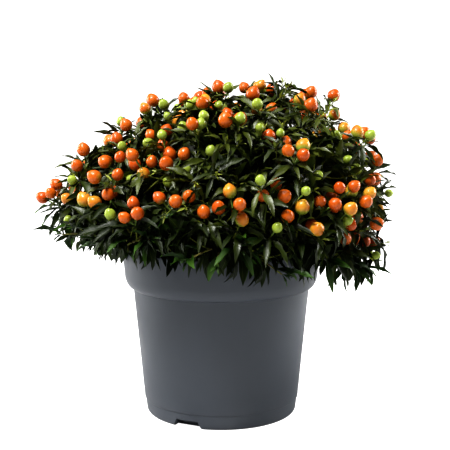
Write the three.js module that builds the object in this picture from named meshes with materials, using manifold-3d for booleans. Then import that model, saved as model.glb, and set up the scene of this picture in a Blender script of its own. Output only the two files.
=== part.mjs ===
// A potted jerusalem cherry: a low, round, evergreen bush hung with orange and green
// berries, in a grey plastic nursery pot. Millimetres, +Z up, origin at the centre of
// the pot's flat underside. The front of the bush looks along -Y.
import * as THREE from "three";
import { mergeVertices } from "three/addons/utils/BufferGeometryUtils.js";
import Module from "manifold-3d";

const wasm = await Module();
wasm.setup();

// Pot, a 19 cm nursery container with a rolled collar
const POT_HEIGHT = 161;
const RIM_RADIUS = 95;
const RIM_ROUNDING = 1.2;
const COLLAR_RADIUS = 92.4;
const COLLAR_BOTTOM = 121.8;
const COLLAR_ROUNDING = 13.8;
const SHOULDER_RADIUS = 84.3;
const FOOT_TOP = 13.8;
const FOOT_TOP_RADIUS = 74.2;
const FOOT_STEP = 0.8;
const FOOT_STEP_HEIGHT = 1.5;
const FOOT_RADIUS = 72.1;
const FOOT_ROUNDING = 3.7;
const POT_WALL = 2.4;
const POT_FLOOR = 3;
const POT_SIDES = 32;

// Drain recesses round the foot, each with a slot through its back wall
const DRAINS = 3;
const DRAIN_FIRST_AZIMUTH = -26;
const DRAIN_DEPTH = 13;
const DRAIN_HEIGHT = 7.6;
const DRAIN_WIDTH_LOW = 29;
const DRAIN_WIDTH_HIGH = 22;
const DRAIN_CUT_PAST = 20;
const SLOT_WIDTH = 13;
const SLOT_HEIGHT = 3;
const SLOT_BOTTOM = 3.4;

// Potting mix, mounded a little round the stem
const SOIL_TOP = 150;
const SOIL_EDGE_FALL = 3.4;
const SOIL_MOUND_RADIUS = 25;

// Short main stem
const STEM_TOP = 186;
const STEM_RADIUS_LOW = 8.2;
const STEM_RADIUS_HIGH = 6.2;
const STEM_FLARE = 5;
const STEM_FLARE_FALL = 7;
const STEM_LEAN = 4;
const STEM_BEND_HEIGHT = 165;
const STEM_SIDES = 7;
const STEM_STEPS = 7;

// Crown: how far it reaches from the fork where its boughs start
const FORK = new THREE.Vector3(0, 0, 166);
const CROWN_LEFT = 197;
const CROWN_RIGHT = 171;
const CROWN_FRONT = 170;
const CROWN_BACK = 170;
const CROWN_RISE = 161;
const CROWN_LEAN = 34;
const CROWN_FULLNESS = 1.9;
const CROWN_LOBE = 0.04;
const LOW_LOBES = { count: 5, start: 1.2 };
const HIGH_LOBES = { count: 3, turn: 6, start: 2.6 };

// Underside of the crown: a shallow bowl round the pot, a little lower on the right
const UNDERSIDE_LOWEST = 106;
const UNDERSIDE_TILT = 0.14;
const UNDERSIDE_UPTURN = 0.28;
const UNDERSIDE_STRETCH = 1.3;

// Boughs and the masses of foliage that they carry, from the skirt up to the top
const TIERS = [
  { name: "skirt", count: 6, first: 8, elevation: 1, starts: [158, 163] },
  { name: "flank", count: 6, first: 38, elevation: 33, starts: [168, 174] },
  { name: "top", count: 3, first: 80, elevation: 68, starts: [181] },
];
const AZIMUTH_SHAKE = 0.3;
const ELEVATION_SHAKE = 6;
const BOUGH_REACH = 56;
const BOUGH_RADIUS_LOW = 2.5;
const BOUGH_RADIUS_HIGH = 2;
const BOUGH_BEND = 0.5;
const BOUGH_SIDES = 5;
const BOUGH_STEPS = 3;

// Clearances
const CUT_GAP = 0.3;
const SPACE_MARGIN = 0.5;
const POT_CLEARANCE = 1;
const BOUGH_CLEARANCE = 1;
const BARE_REACH = 45;
const SLIVER = 0.02;

// The stem of a mass, and the places along it where shoots fork off
const MASS_STEM_REACH = 0.6;
const MASS_STEM_RISE = 4;
const MASS_STEM_BEND = 0.6;
const MASS_STEM_TIP = 1.3;
const MASS_STEM_SIDES = 4;
const MASS_STEM_STEPS = 2;
const MASS_STEM_FORKS = [0.3, 0.55, 0.8, 0.97];

// Shoots: where their tips go, and how they bend on their way there
const SHOOTS = 96;
const LOWEST_SHOOT = -10;
const GOLDEN_TURN = THREE.MathUtils.degToRad(137.5);
const TIP_JITTER = 0.08;
const TIP_MARGIN = 0.02;
const TIP_PULL = 0.05;
const SHORT_OF_OUTLINE = 27;
const TIP_ABOVE_UNDERSIDE = 8;
const OUTER_DEPTH = 0.96;
const OUTER_DEPTH_SPREAD = 0.05;
const INNER_EVERY = 4;
const INNER_DEPTH = 0.7;
const INNER_FLATTENING = 0.5;
const SHORTEST_SHOOT = 34;
const SHORT_SHOOT_COST = 90;
const TURN_COST = 0.9;
const SHOOT_FORKS = [0.38, 0.62];
const FORK_STEP = 1.4;
const SHOOT_SET_OFF = 0.3;
const SHOOT_MIDDLE = 0.55;
const SHOOT_STRAIGHTENING = 0.6;
const SHOOT_ARCH = 0.13;
const SHOOT_SWEEP = 0.35;
const SHOOT_RADIUS_LOW = 1.05;
const SHOOT_RADIUS_HIGH = 0.55;
const SHOOT_BUD = 3;

// Leaves, in threes round their nodes
const NODE_PLACES = [0.36, 0.6, 0.85];
const NODE_LEAVES = 3;
const THIRD_TURN = (2 * Math.PI) / 3;
const LEAF_LENGTH = 48;
const LEAF_WIDTH = 18;
const LEAF_THICKNESS = 1.3;
const LEAF_WIDEST = 0.42;
const LEAF_SIZES = [1, 0.8, 0.62];
const LEAF_SIZE_LEAST = 0.88;
const LEAF_SIZE_SPREAD = 0.24;
const LEAF_ROOT = 5;
const LEAF_ROOT_MOST = 0.12;
const LEAF_ARCH = 0.08;
const LEAF_CUP = 0.25;
const LEAF_RUN = 0.95;
const LEAF_DROOP = 0.14;
const LEAF_OPENING = 1.2;
const LEAF_CLOSING = 0.5;
const LEAF_OPENING_SPREAD = 0.2;
const LEAF_HANG = 0.1;
const LEAF_TWIST = 0.9;
const LEAF_APART = 6.5;
const TWIG_APART = 4.5;

// Berries
const BERRY_RADIUS = 6.9;
const BERRY_TIP = 1.08;
const BERRY_SHARE = 0.5;
const BERRY_STALK = 12;
const BERRY_FOLLOWS_SHOOT = 0.8;
const BERRY_CLEARANCE = 2;
const BERRY_SIDES = 6;
const BERRY_BANDS = [-45, 0, 45];
const STALK_RADIUS = 0.7;

// Seeds
const TIP_SEED = 7;
const MASS_SEED = 311;

// Colours and finishes
const FINISH = {
  pot: { color: 0x44484f, roughness: 0.5, metalness: 0 },
  soil: { color: 0x2a1c12, roughness: 1, metalness: 0 },
  wood: { color: 0x5a4a2c, roughness: 0.8, metalness: 0 },
  leaf: { color: 0x2b3a12, roughness: 0.4, metalness: 0 },
};

const UP = new THREE.Vector3(0, 0, 1);
const CURVE_SAMPLES = 12;
const FRAME_SAMPLES = 50;

// Draws between 0 and 1, the same each time for one seed
function drawStream(seed) {
  const modulus = 2 ** 32;
  let state = (seed * 747796405 + 12345) % modulus;
  const draw = () => {
    state = (state * 1664525 + 1013904223) % modulus;
    return state / modulus;
  };
  draw();
  draw();
  return draw;
}

function direction(azimuth, elevation) {
  const a = THREE.MathUtils.degToRad(azimuth);
  const e = THREE.MathUtils.degToRad(elevation);
  return new THREE.Vector3(Math.sin(a) * Math.cos(e), -Math.cos(a) * Math.cos(e), Math.sin(e));
}

function along(start, way, distance) {
  return start.clone().addScaledVector(way, distance);
}

// Distance from the fork to the crown's outline: a dome, longer on the left, that leans
// to the right as it rises, with shallow lobes that turn round it
function crownReach(way) {
  const halfX = way.x < 0 ? CROWN_LEFT : CROWN_RIGHT;
  const halfY = way.y < 0 ? CROWN_FRONT : CROWN_BACK;
  const rise = Math.max(way.z, 0);
  const leant = way.x - (CROWN_LEAN / CROWN_RISE) * rise;
  const shares = [leant / halfX, way.y / halfY, way.z / CROWN_RISE];
  const sum = shares.reduce((total, share) => total + Math.abs(share) ** CROWN_FULLNESS, 0);
  const azimuth = Math.atan2(way.x, -way.y);
  const low = Math.sin(LOW_LOBES.count * azimuth + LOW_LOBES.start) * (1 - rise);
  const high = Math.sin(HIGH_LOBES.count * azimuth + HIGH_LOBES.turn * rise + HIGH_LOBES.start);
  return (1 + (CROWN_LOBE * (low + high)) / 2) / sum ** (1 / CROWN_FULLNESS);
}

// Height of the crown's underside below or above a point
function undersideAt(point) {
  const away = Math.hypot(point.x, UNDERSIDE_STRETCH * point.y);
  return UNDERSIDE_LOWEST - UNDERSIDE_TILT * point.x + UNDERSIDE_UPTURN * away;
}

// Whether a point is clear of the pot and its rim by a margin
function isClearOfPot(point, margin) {
  const gap = margin + POT_CLEARANCE;
  return point.z - gap > POT_HEIGHT || Math.hypot(point.x, point.y) - gap > RIM_RADIUS;
}

// Solids

function toSolid(geometry) {
  const bare = geometry.clone();
  bare.deleteAttribute("normal");
  bare.deleteAttribute("uv");
  const merged = mergeVertices(bare, 1e-4);
  return new wasm.Manifold(
    new wasm.Mesh({
      numProp: 3,
      vertProperties: merged.attributes.position.array,
      triVerts: new Uint32Array(merged.index.array),
    }),
  );
}

function fromFaces(points, faces) {
  const geometry = new THREE.BufferGeometry().setFromPoints(points);
  geometry.setIndex(faces.flat());
  return toSolid(geometry);
}

function toGeometry(solid) {
  const mesh = solid.getMesh();
  const geometry = new THREE.BufferGeometry();
  geometry.setAttribute("position", new THREE.BufferAttribute(mesh.vertProperties, 3));
  geometry.setIndex(new THREE.BufferAttribute(mesh.triVerts, 1));
  return geometry;
}

// The largest body of a solid, without sealed hollows, loose scraps and slivers
function mainBody(solid) {
  const bodies = solid.simplify(SLIVER).decompose();
  return bodies.reduce((best, body) => (body.volume() > best.volume() ? body : best));
}

function lathe(outline, sides) {
  const points = outline.map(([r, z]) => new THREE.Vector2(r, z));
  return toSolid(new THREE.LatheGeometry(points, sides).rotateX(Math.PI / 2));
}

// A limb of round section along a curve. radiusAt gives its radius from 0 at the foot
// to 1 at the tip, and both ends are flat cuts.
function limb(curve, radiusAt, sides, steps) {
  const geometry = new THREE.CylinderGeometry(1, 1, 1, sides, steps);
  const frames = curve.computeFrenetFrames(steps, false);
  const position = geometry.attributes.position;
  const spoke = new THREE.Vector3();
  for (let i = 0; i < position.count; i++) {
    const t = position.getY(i) + 0.5;
    const step = Math.round(t * steps);
    const radius = radiusAt(t);
    spoke.copy(curve.getPointAt(t));
    spoke.addScaledVector(frames.normals[step], position.getX(i) * radius);
    spoke.addScaledVector(frames.binormals[step], -position.getZ(i) * radius);
    position.setXYZ(i, spoke.x, spoke.y, spoke.z);
  }
  return toSolid(geometry);
}

function taper(low, high) {
  return (t) => low + (high - low) * t;
}

// Pot and soil

function arc(centreR, centreZ, radius, from, to, steps) {
  const points = [];
  for (let i = 0; i <= steps; i++) {
    const a = THREE.MathUtils.degToRad(from + ((to - from) * i) / steps);
    points.push([centreR + radius * Math.cos(a), centreZ + radius * Math.sin(a)]);
  }
  return points;
}

function potOutside() {
  const overhang = COLLAR_RADIUS - SHOULDER_RADIUS;
  const rounding = [30, 60, 90].map((angle) => {
    const a = THREE.MathUtils.degToRad(angle);
    const r = SHOULDER_RADIUS + overhang * Math.sin(a);
    return [r, COLLAR_BOTTOM + COLLAR_ROUNDING * (1 - Math.cos(a))];
  });
  return [
    [0, 0],
    ...arc(FOOT_RADIUS - FOOT_ROUNDING, FOOT_ROUNDING, FOOT_ROUNDING, -90, 0, 2),
    [FOOT_TOP_RADIUS - FOOT_STEP, FOOT_TOP],
    [FOOT_TOP_RADIUS, FOOT_TOP + FOOT_STEP_HEIGHT],
    [SHOULDER_RADIUS, COLLAR_BOTTOM],
    ...rounding,
    [RIM_RADIUS, POT_HEIGHT - RIM_ROUNDING],
    [RIM_RADIUS - RIM_ROUNDING, POT_HEIGHT],
    [0, POT_HEIGHT],
  ];
}

// The wall of the pot's hollow from its floor up to a height, made smaller by a gap
// where something fills it
function potInside(gap, top) {
  const inset = POT_WALL + gap;
  const floor = POT_FLOOR + gap;
  const slope = (RIM_RADIUS - COLLAR_RADIUS) / (POT_HEIGHT - COLLAR_BOTTOM - COLLAR_ROUNDING);
  const aboveCollar = top - COLLAR_BOTTOM - COLLAR_ROUNDING;
  return [
    [0, floor],
    [FOOT_RADIUS - inset - FOOT_ROUNDING, floor],
    [FOOT_RADIUS - inset, floor + FOOT_ROUNDING],
    [SHOULDER_RADIUS - inset, COLLAR_BOTTOM],
    [COLLAR_RADIUS - inset, COLLAR_BOTTOM + COLLAR_ROUNDING],
    [COLLAR_RADIUS - inset + slope * aboveCollar, top],
  ];
}

// A drain recess as a solid, larger than the real one by a wall
function drainBlock(azimuth, wall) {
  const low = DRAIN_WIDTH_LOW / 2 + wall;
  const high = DRAIN_WIDTH_HIGH / 2 + wall;
  const flank = new THREE.Shape();
  flank.moveTo(-low, -DRAIN_CUT_PAST);
  flank.lineTo(low, -DRAIN_CUT_PAST);
  flank.lineTo(low, 0);
  flank.lineTo(high, DRAIN_HEIGHT + wall);
  flank.lineTo(-high, DRAIN_HEIGHT + wall);
  flank.lineTo(-low, 0);
  const depth = DRAIN_DEPTH + wall + DRAIN_CUT_PAST;
  const block = new THREE.ExtrudeGeometry(flank, { depth, bevelEnabled: false });
  block.rotateX(Math.PI / 2);
  block.translate(0, depth - (FOOT_TOP_RADIUS + DRAIN_CUT_PAST), 0);
  block.rotateZ(THREE.MathUtils.degToRad(azimuth));
  return toSolid(block);
}

function drainSlot(azimuth) {
  const slot = new THREE.BoxGeometry(SLOT_WIDTH, 3 * POT_WALL, SLOT_HEIGHT);
  const back = FOOT_TOP_RADIUS - DRAIN_DEPTH;
  slot.translate(0, -(back - POT_WALL / 2), SLOT_BOTTOM + SLOT_HEIGHT / 2);
  slot.rotateZ(THREE.MathUtils.degToRad(azimuth));
  return toSolid(slot);
}

function drainAzimuths() {
  return Array.from({ length: DRAINS }, (_, i) => DRAIN_FIRST_AZIMUTH + (360 / DRAINS) * i);
}

function makePot() {
  const above = POT_HEIGHT + 1;
  let hollow = lathe([...potInside(0, above), [0, above]], POT_SIDES);
  let body = lathe(potOutside(), POT_SIDES);
  for (const azimuth of drainAzimuths()) {
    hollow = hollow.subtract(drainBlock(azimuth, POT_WALL));
    body = body.subtract(drainBlock(azimuth, 0)).subtract(drainSlot(azimuth));
  }
  return mainBody(body.subtract(hollow));
}

function makeSoil() {
  const wall = potInside(CUT_GAP, SOIL_TOP - SOIL_EDGE_FALL);
  let soil = lathe([...wall, [SOIL_MOUND_RADIUS, SOIL_TOP], [0, SOIL_TOP]], POT_SIDES);
  for (const azimuth of drainAzimuths()) {
    soil = soil.subtract(drainBlock(azimuth, POT_WALL + CUT_GAP));
  }
  return mainBody(soil);
}

// Main stem and boughs

const stemCurve = new THREE.QuadraticBezierCurve3(
  new THREE.Vector3(-STEM_LEAN, 0, SOIL_TOP + CUT_GAP),
  new THREE.Vector3(-STEM_LEAN, 0, STEM_BEND_HEIGHT),
  new THREE.Vector3(STEM_LEAN / 2, 0, STEM_TOP),
);

function makeStem(extra) {
  const plain = taper(STEM_RADIUS_LOW, STEM_RADIUS_HIGH);
  const radiusAt = (t) => plain(t) + STEM_FLARE * Math.exp(-t * STEM_FLARE_FALL) + extra;
  return limb(stemCurve, radiusAt, STEM_SIDES, STEM_STEPS);
}

function stemPoint(height) {
  const t = (height - SOIL_TOP) / (STEM_TOP - SOIL_TOP);
  return stemCurve.getPointAt(THREE.MathUtils.clamp(t, 0, 1));
}

// The plan of the crown: one entry for each bough and the mass that it carries
function planMasses() {
  const masses = [];
  for (const tier of TIERS) {
    for (let i = 0; i < tier.count; i++) {
      const draw = drawStream(masses.length + 1);
      const azimuth = tier.first + ((i + AZIMUTH_SHAKE * (draw() - 0.5)) * 360) / tier.count;
      const elevation = tier.elevation + ELEVATION_SHAKE * (draw() - 0.5);
      const heading = direction(azimuth, elevation);
      const start = stemPoint(tier.starts[i % tier.starts.length]);
      const tip = along(FORK, heading, BOUGH_REACH);
      const bend = along(tip, heading, -BOUGH_BEND * tip.distanceTo(start));
      masses.push({
        label: `${tier.name}_${i + 1}`,
        seed: MASS_SEED + masses.length,
        heading,
        tip,
        bough: new THREE.QuadraticBezierCurve3(start, bend, tip),
        tips: [],
      });
    }
  }
  return masses;
}

const plan = planMasses();

// A mass's space is the set of points nearer in direction to its own heading than to
// any other: a cone from the fork with flat sides. Returns the clearance to its sides.
function clearance(mass, point) {
  const out = point.clone().sub(FORK);
  let least = Infinity;
  for (const other of plan) {
    if (other === mass) continue;
    const across = mass.heading.clone().sub(other.heading).normalize();
    least = Math.min(least, out.dot(across));
  }
  return least;
}

function makeBough(mass, stemWithGap) {
  const radiusAt = taper(BOUGH_RADIUS_LOW, BOUGH_RADIUS_HIGH);
  const whole = limb(mass.bough, radiusAt, BOUGH_SIDES, BOUGH_STEPS);
  return mainBody(whole.subtract(stemWithGap));
}

// Masses of foliage

function isFarFrom(point, others, gap) {
  return others.every((other) => other.distanceTo(point) > gap);
}

// Whether a point keeps to the crown and to the mass's space, clear of pot and bough by
// a margin
function isFree(mass, point, margin) {
  if (clearance(mass, point) < margin + SPACE_MARGIN) return false;
  if (point.z < undersideAt(point) + margin) return false;
  if (!isClearOfPot(point, margin)) return false;
  const way = point.clone().sub(FORK);
  const out = way.length();
  if (out < BARE_REACH || out + margin > crownReach(way.normalize())) return false;
  const gap = BOUGH_RADIUS_LOW + BOUGH_CLEARANCE + margin;
  return out > BOUGH_REACH + gap || isFarFrom(point, mass.bough.getPoints(CURVE_SAMPLES), gap);
}

// Directions from the fork to all shoot tips: an even golden-turn spiral from the skirt
// to the top, shaken a little, each one kept inside the space of the mass it falls in.
// Every few shoots one stays inside the crown, and low, to fill it.
function shareOutTips(count) {
  const draw = drawStream(TIP_SEED);
  const lowest = Math.sin(THREE.MathUtils.degToRad(LOWEST_SHOOT));
  for (let i = 0; i < count; i++) {
    const rise = lowest + ((1 - lowest) * (i + 0.5)) / count;
    const azimuth = i * GOLDEN_TURN;
    const level = Math.sqrt(1 - rise * rise);
    const way = new THREE.Vector3(Math.sin(azimuth) * level, -Math.cos(azimuth) * level, rise);
    way.x += TIP_JITTER * (draw() - 0.5);
    way.y += TIP_JITTER * (draw() - 0.5);
    way.z += TIP_JITTER * (draw() - 0.5);
    const inner = i % INNER_EVERY === INNER_EVERY - 1;
    if (inner) way.z *= INNER_FLATTENING;
    way.normalize();
    const mass = plan.reduce((best, m) => (m.heading.dot(way) > best.heading.dot(way) ? m : best));
    while (clearance(mass, along(FORK, way, 1)) < TIP_MARGIN) {
      way.lerp(mass.heading, TIP_PULL).normalize();
    }
    const depth = inner ? INNER_DEPTH : OUTER_DEPTH + OUTER_DEPTH_SPREAD * draw();
    const tip = along(FORK, way, crownReach(way) * depth - SHORT_OF_OUTLINE);
    tip.z = Math.max(tip.z, undersideAt(tip) + TIP_ABOVE_UNDERSIDE);
    mass.tips.push(tip);
  }
}

// One shoot from its root to its tip: it rises as it ends on the upper crown, and
// arches over on the skirt
function shootCurve(root, way, tip) {
  const length = root.distanceTo(tip);
  const rise = (tip.z - FORK.z) / CROWN_RISE;
  const bend = along(root, way, length * SHOOT_SET_OFF);
  bend.lerp(root.clone().lerp(tip, SHOOT_MIDDLE), SHOOT_STRAIGHTENING);
  bend.z += length * (SHOOT_ARCH - SHOOT_SWEEP * rise);
  return new THREE.QuadraticBezierCurve3(root, bend, tip);
}

function massStem(mass) {
  const start = along(mass.tip, mass.heading, CUT_GAP);
  const end = along(FORK, mass.heading, crownReach(mass.heading) * MASS_STEM_REACH);
  end.z += MASS_STEM_RISE;
  const bend = along(start, mass.heading, start.distanceTo(end) * MASS_STEM_BEND);
  return new THREE.QuadraticBezierCurve3(start, bend, end);
}

// The fork from which a tip is reached with the least length and the least turn
function bestFork(forks, tip) {
  const cost = (fork) => {
    const toTip = tip.clone().sub(fork.point);
    const length = toTip.length();
    const turn = 1 - toTip.normalize().dot(fork.way);
    return length * (1 + TURN_COST * turn) + (length < SHORTEST_SHOOT ? SHORT_SHOOT_COST : 0);
  };
  return forks.reduce((best, fork) => (cost(fork) < cost(best) ? fork : best));
}

// The curves of all shoots of a mass. Each forks off its stem, or off an earlier shoot.
function growShoots(mass, stem) {
  const forkAt = (curve, t) => ({ point: curve.getPoint(t), way: curve.getTangent(t), used: 0 });
  const forks = MASS_STEM_FORKS.map((t) => forkAt(stem, t));
  const shoots = [];
  for (const tip of mass.tips) {
    const from = bestFork(forks, tip);
    const root = along(from.point, from.way, -FORK_STEP * from.used);
    const curve = shootCurve(root, from.way, tip);
    const points = curve.getPoints(CURVE_SAMPLES);
    if (!points.every((point) => isClearOfPot(point, SHOOT_RADIUS_LOW))) continue;
    from.used += 1;
    shoots.push(curve);
    forks.push(...SHOOT_FORKS.map((t) => forkAt(curve, t)));
  }
  return shoots;
}

// The points of a leaf: four round its widest part, and its tip. Its blade starts in
// the plane of the shoot, and twists to turn its upper face to the sky.
function leafPoints(root, way, tangent, across, size) {
  const length = LEAF_LENGTH * size;
  const half = (LEAF_WIDTH * size) / 2;
  const width = tangent.clone().addScaledVector(way, -tangent.dot(way)).normalize();
  const face = way.clone().cross(width);
  if (face.dot(across) < 0) face.negate();
  const skyward = Math.sign(face.z) || 1;
  const wanted = Math.atan2(way.clone().cross(face).z * skyward, Math.abs(face.z));
  const twist = THREE.MathUtils.clamp(wanted, -LEAF_TWIST, LEAF_TWIST);
  width.applyAxisAngle(way, twist);
  face.applyAxisAngle(way, twist);
  const middle = along(root, way, length * LEAF_WIDEST);
  middle.addScaledVector(face, skyward * length * LEAF_ARCH);
  const edge = along(middle, face, skyward * half * LEAF_CUP);
  return {
    heel: along(edge, width, -half),
    over: along(middle, face, LEAF_THICKNESS / 2),
    toe: along(edge, width, half),
    under: along(middle, face, -LEAF_THICKNESS / 2),
    tip: along(along(root, way, length * LEAF_RUN), UP, -length * LEAF_DROOP),
    middle,
  };
}

// The rings of three points round a shoot: one at its foot, then a close pair for each
// node, where leaves take the place of the sides between the two
function shootRings(curve) {
  const rootShare = Math.min(LEAF_ROOT / curve.getLength(), LEAF_ROOT_MOST);
  const places = NODE_PLACES.flatMap((t) => [t, t + rootShare]);
  const frames = curve.computeFrenetFrames(FRAME_SAMPLES, false);
  const radiusAt = taper(SHOOT_RADIUS_LOW, SHOOT_RADIUS_HIGH);
  return [0, ...places].map((t) => {
    const at = Math.round(t * FRAME_SAMPLES);
    const spoke = (angle) => {
      const out = frames.normals[at].clone().multiplyScalar(Math.cos(angle));
      return out.addScaledVector(frames.binormals[at], Math.sin(angle));
    };
    return { centre: curve.getPointAt(t), tangent: frames.tangents[at], spoke, radius: radiusAt(t) };
  });
}

// A leaf on one side of a shoot, between two of its rings, in the first size that is
// clear of everything
function leafOnSide(lower, upper, side, place, isClear, draw) {
  const angle = (side + 0.5) * THIRD_TURN;
  const spread = LEAF_OPENING_SPREAD * (draw() - 0.5);
  const open = LEAF_OPENING - LEAF_CLOSING * place + spread;
  const way = lower.tangent.clone().multiplyScalar(Math.cos(open));
  way.addScaledVector(lower.spoke(angle), Math.sin(open));
  way.z -= LEAF_HANG;
  way.normalize();
  const root = lower.centre.clone().lerp(upper.centre, 0.5);
  const across = lower.spoke(angle + Math.PI / 2);
  const share = LEAF_SIZE_LEAST + LEAF_SIZE_SPREAD * draw();
  const sized = LEAF_SIZES.map((size) => leafPoints(root, way, lower.tangent, across, size * share));
  return sized.find(isClear) ?? null;
}

// The leaves at each node of a shoot, by side: they follow the golden turn
function leavesAtNodes(rings, isClear, draw) {
  let turn = draw() * 2 * Math.PI;
  return NODE_PLACES.map((place, node) => {
    turn += GOLDEN_TURN;
    const first = Math.floor(turn / THIRD_TURN);
    const leaves = [null, null, null];
    for (let shift = 0; shift < NODE_LEAVES; shift++) {
      const side = (first + shift) % 3;
      const ring = 1 + 2 * node;
      leaves[side] = leafOnSide(rings[ring], rings[ring + 1], side, place, isClear, draw);
    }
    return leaves;
  });
}

// A mesh under construction, whose faces are given by the numbers of their points
class Skin {
  points = [];
  faces = [];

  addPoint(point) {
    return this.points.push(point) - 1;
  }

  addRing(centre, radius, spoke, count) {
    const first = this.points.length;
    for (let i = 0; i < count; i++) {
      this.addPoint(along(centre, spoke((i / count) * 2 * Math.PI), radius));
    }
    return first;
  }

  addQuad(a, b, c, d) {
    this.faces.push([a, b, c], [a, c, d]);
  }

  // A tube's skin between two rings of the same count
  addBand(low, high, count) {
    for (let i = 0; i < count; i++) {
      const next = (i + 1) % count;
      this.addQuad(low + i, low + next, high + next, high + i);
    }
  }

  addCap(ring, count, apex) {
    const top = this.addPoint(apex);
    for (let i = 0; i < count; i++) this.faces.push([ring + i, ring + ((i + 1) % count), top]);
  }

  // A leaf in place of the four-cornered side whose corners are given
  addBlade(corners, leaf) {
    const tip = this.addPoint(leaf.tip);
    const belt = [leaf.heel, leaf.over, leaf.toe, leaf.under].map((point) => this.addPoint(point));
    for (let i = 0; i < 4; i++) {
      const after = (i + 1) % 4;
      this.faces.push([corners[i], corners[after], belt[i]]);
      this.faces.push([corners[after], belt[after], belt[i]]);
      this.faces.push([belt[i], belt[after], tip]);
    }
  }
}

// A stalk and a berry on the last ring of a shoot
function addBerry(skin, last, level, berry) {
  const { centre, axis } = berry;
  level.addScaledVector(axis, -level.dot(axis)).normalize();
  const third = axis.clone().cross(level);
  const spoke = (angle) => along(level.clone().multiplyScalar(Math.cos(angle)), third, Math.sin(angle));
  const stalk = skin.addRing(along(centre, axis, -BERRY_RADIUS), STALK_RADIUS, spoke, 3);
  skin.addBand(last, stalk, 3);
  const bands = BERRY_BANDS.map((latitude) => {
    const a = THREE.MathUtils.degToRad(latitude);
    const height = BERRY_RADIUS * Math.sin(a);
    return skin.addRing(along(centre, axis, height), BERRY_RADIUS * Math.cos(a), spoke, BERRY_SIDES);
  });
  for (let i = 0; i < 3; i++) {
    const next = (i + 1) % 3;
    const low = bands[0] + 2 * i;
    const after = bands[0] + ((2 * i + 2) % BERRY_SIDES);
    skin.faces.push([stalk + i, low + 1, low]);
    skin.faces.push([stalk + i, stalk + next, low + 1]);
    skin.faces.push([stalk + next, after, low + 1]);
  }
  skin.addBand(bands[0], bands[1], BERRY_SIDES);
  skin.addBand(bands[1], bands[2], BERRY_SIDES);
  skin.addCap(bands[2], BERRY_SIDES, along(centre, axis, BERRY_RADIUS * BERRY_TIP));
}

// A three-sided twig whose leaves grow out of its own sides. It ends in a bud, or in a
// stalk and a berry.
function leafyShoot(curve, berry, isClear, draw) {
  const rings = shootRings(curve);
  const nodes = leavesAtNodes(rings, isClear, draw);
  const skin = new Skin();
  skin.faces.push([0, 2, 1]);
  for (const ring of rings) skin.addRing(ring.centre, ring.radius, ring.spoke, 3);
  for (let k = 0; k + 1 < rings.length; k++) {
    const leaves = k % 2 === 1 ? nodes[(k - 1) / 2] : [null, null, null];
    leaves.forEach((leaf, side) => {
      const next = (side + 1) % 3;
      const corners = [3 * k + side, 3 * k + next, 3 * k + 3 + next, 3 * k + 3 + side];
      if (leaf) skin.addBlade(corners, leaf);
      else skin.addQuad(...corners);
    });
  }
  const last = 3 * (rings.length - 1);
  if (berry) addBerry(skin, last, rings.at(-1).spoke(0), berry);
  else skin.addCap(last, 3, along(curve.getPointAt(1), curve.getTangentAt(1), SHOOT_BUD));
  return fromFaces(skin.points, skin.faces);
}

// Where a shoot's berry stands: above its tip, on a stalk that turns upwards
function placeBerry(mass, curve, draw) {
  const axis = new THREE.Vector3(draw() - 0.5, draw() - 0.5, 1);
  axis.addScaledVector(curve.getTangent(1), BERRY_FOLLOWS_SHOOT).normalize();
  const centre = along(curve.getPoint(1), axis, BERRY_STALK);
  return isFree(mass, centre, BERRY_RADIUS) ? { centre, axis } : null;
}

function makeMass(mass) {
  const draw = drawStream(mass.seed);
  const stem = massStem(mass);
  const shoots = growShoots(mass, stem);
  const twigs = shoots.map((curve) => curve.getPoints(CURVE_SAMPLES));
  const blades = [];
  const berries = [];
  const isClear = (leaf, own) => {
    const corners = [leaf.heel, leaf.toe, leaf.middle];
    corners.push(leaf.tip, ...corners.map((corner) => corner.clone().lerp(leaf.tip, 0.5)));
    if (!corners.every((corner) => isFree(mass, corner, LEAF_THICKNESS))) return false;
    const spine = [leaf.middle, leaf.middle.clone().lerp(leaf.tip, 0.5), leaf.tip];
    const clear = spine.every(
      (point) =>
        isFarFrom(point, blades, LEAF_APART) &&
        isFarFrom(point, berries, BERRY_RADIUS + BERRY_CLEARANCE) &&
        twigs.every((twig, i) => i === own || isFarFrom(point, twig, TWIG_APART)),
    );
    if (clear) blades.push(...spine);
    return clear;
  };
  const thickness = taper(BOUGH_RADIUS_HIGH, MASS_STEM_TIP);
  let whole = limb(stem, thickness, MASS_STEM_SIDES, MASS_STEM_STEPS);
  let owed = draw();
  shoots.forEach((curve, order) => {
    let berry = null;
    owed += BERRY_SHARE;
    if (owed >= 1) {
      owed -= 1;
      berry = placeBerry(mass, curve, draw);
      if (berry) berries.push(berry.centre);
    }
    whole = whole.add(leafyShoot(curve, berry, (leaf) => isClear(leaf, order), draw));
  });
  return mainBody(whole);
}

// Assembly

function named(name, solid, finish) {
  const mesh = new THREE.Mesh(toGeometry(solid), new THREE.MeshStandardMaterial(finish));
  mesh.name = name;
  return mesh;
}

const plant = new THREE.Group();
plant.add(named("pot", makePot(), FINISH.pot));
plant.add(named("soil", makeSoil(), FINISH.soil));
plant.add(named("main_stem", makeStem(0), FINISH.wood));

shareOutTips(SHOOTS);
const stemWithGap = makeStem(CUT_GAP);
for (const mass of plan) {
  plant.add(named(`bough_${mass.label}`, makeBough(mass, stemWithGap), FINISH.wood));
}
for (const mass of plan) {
  plant.add(named(`mass_${mass.label}`, makeMass(mass), FINISH.leaf));
}

export default plant;
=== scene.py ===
"""A potted jerusalem cherry: a low, round, evergreen bush hung with orange and green
berries, in a grey plastic nursery pot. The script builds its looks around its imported
solids, in metres, +Z up. The front of the bush looks along -Y."""

import functools
import itertools
import math

import bmesh
import bpy
import numpy as np
from bpy.props import FloatProperty, FloatVectorProperty, IntProperty, PointerProperty
from mathutils import Matrix, Vector, noise


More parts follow.
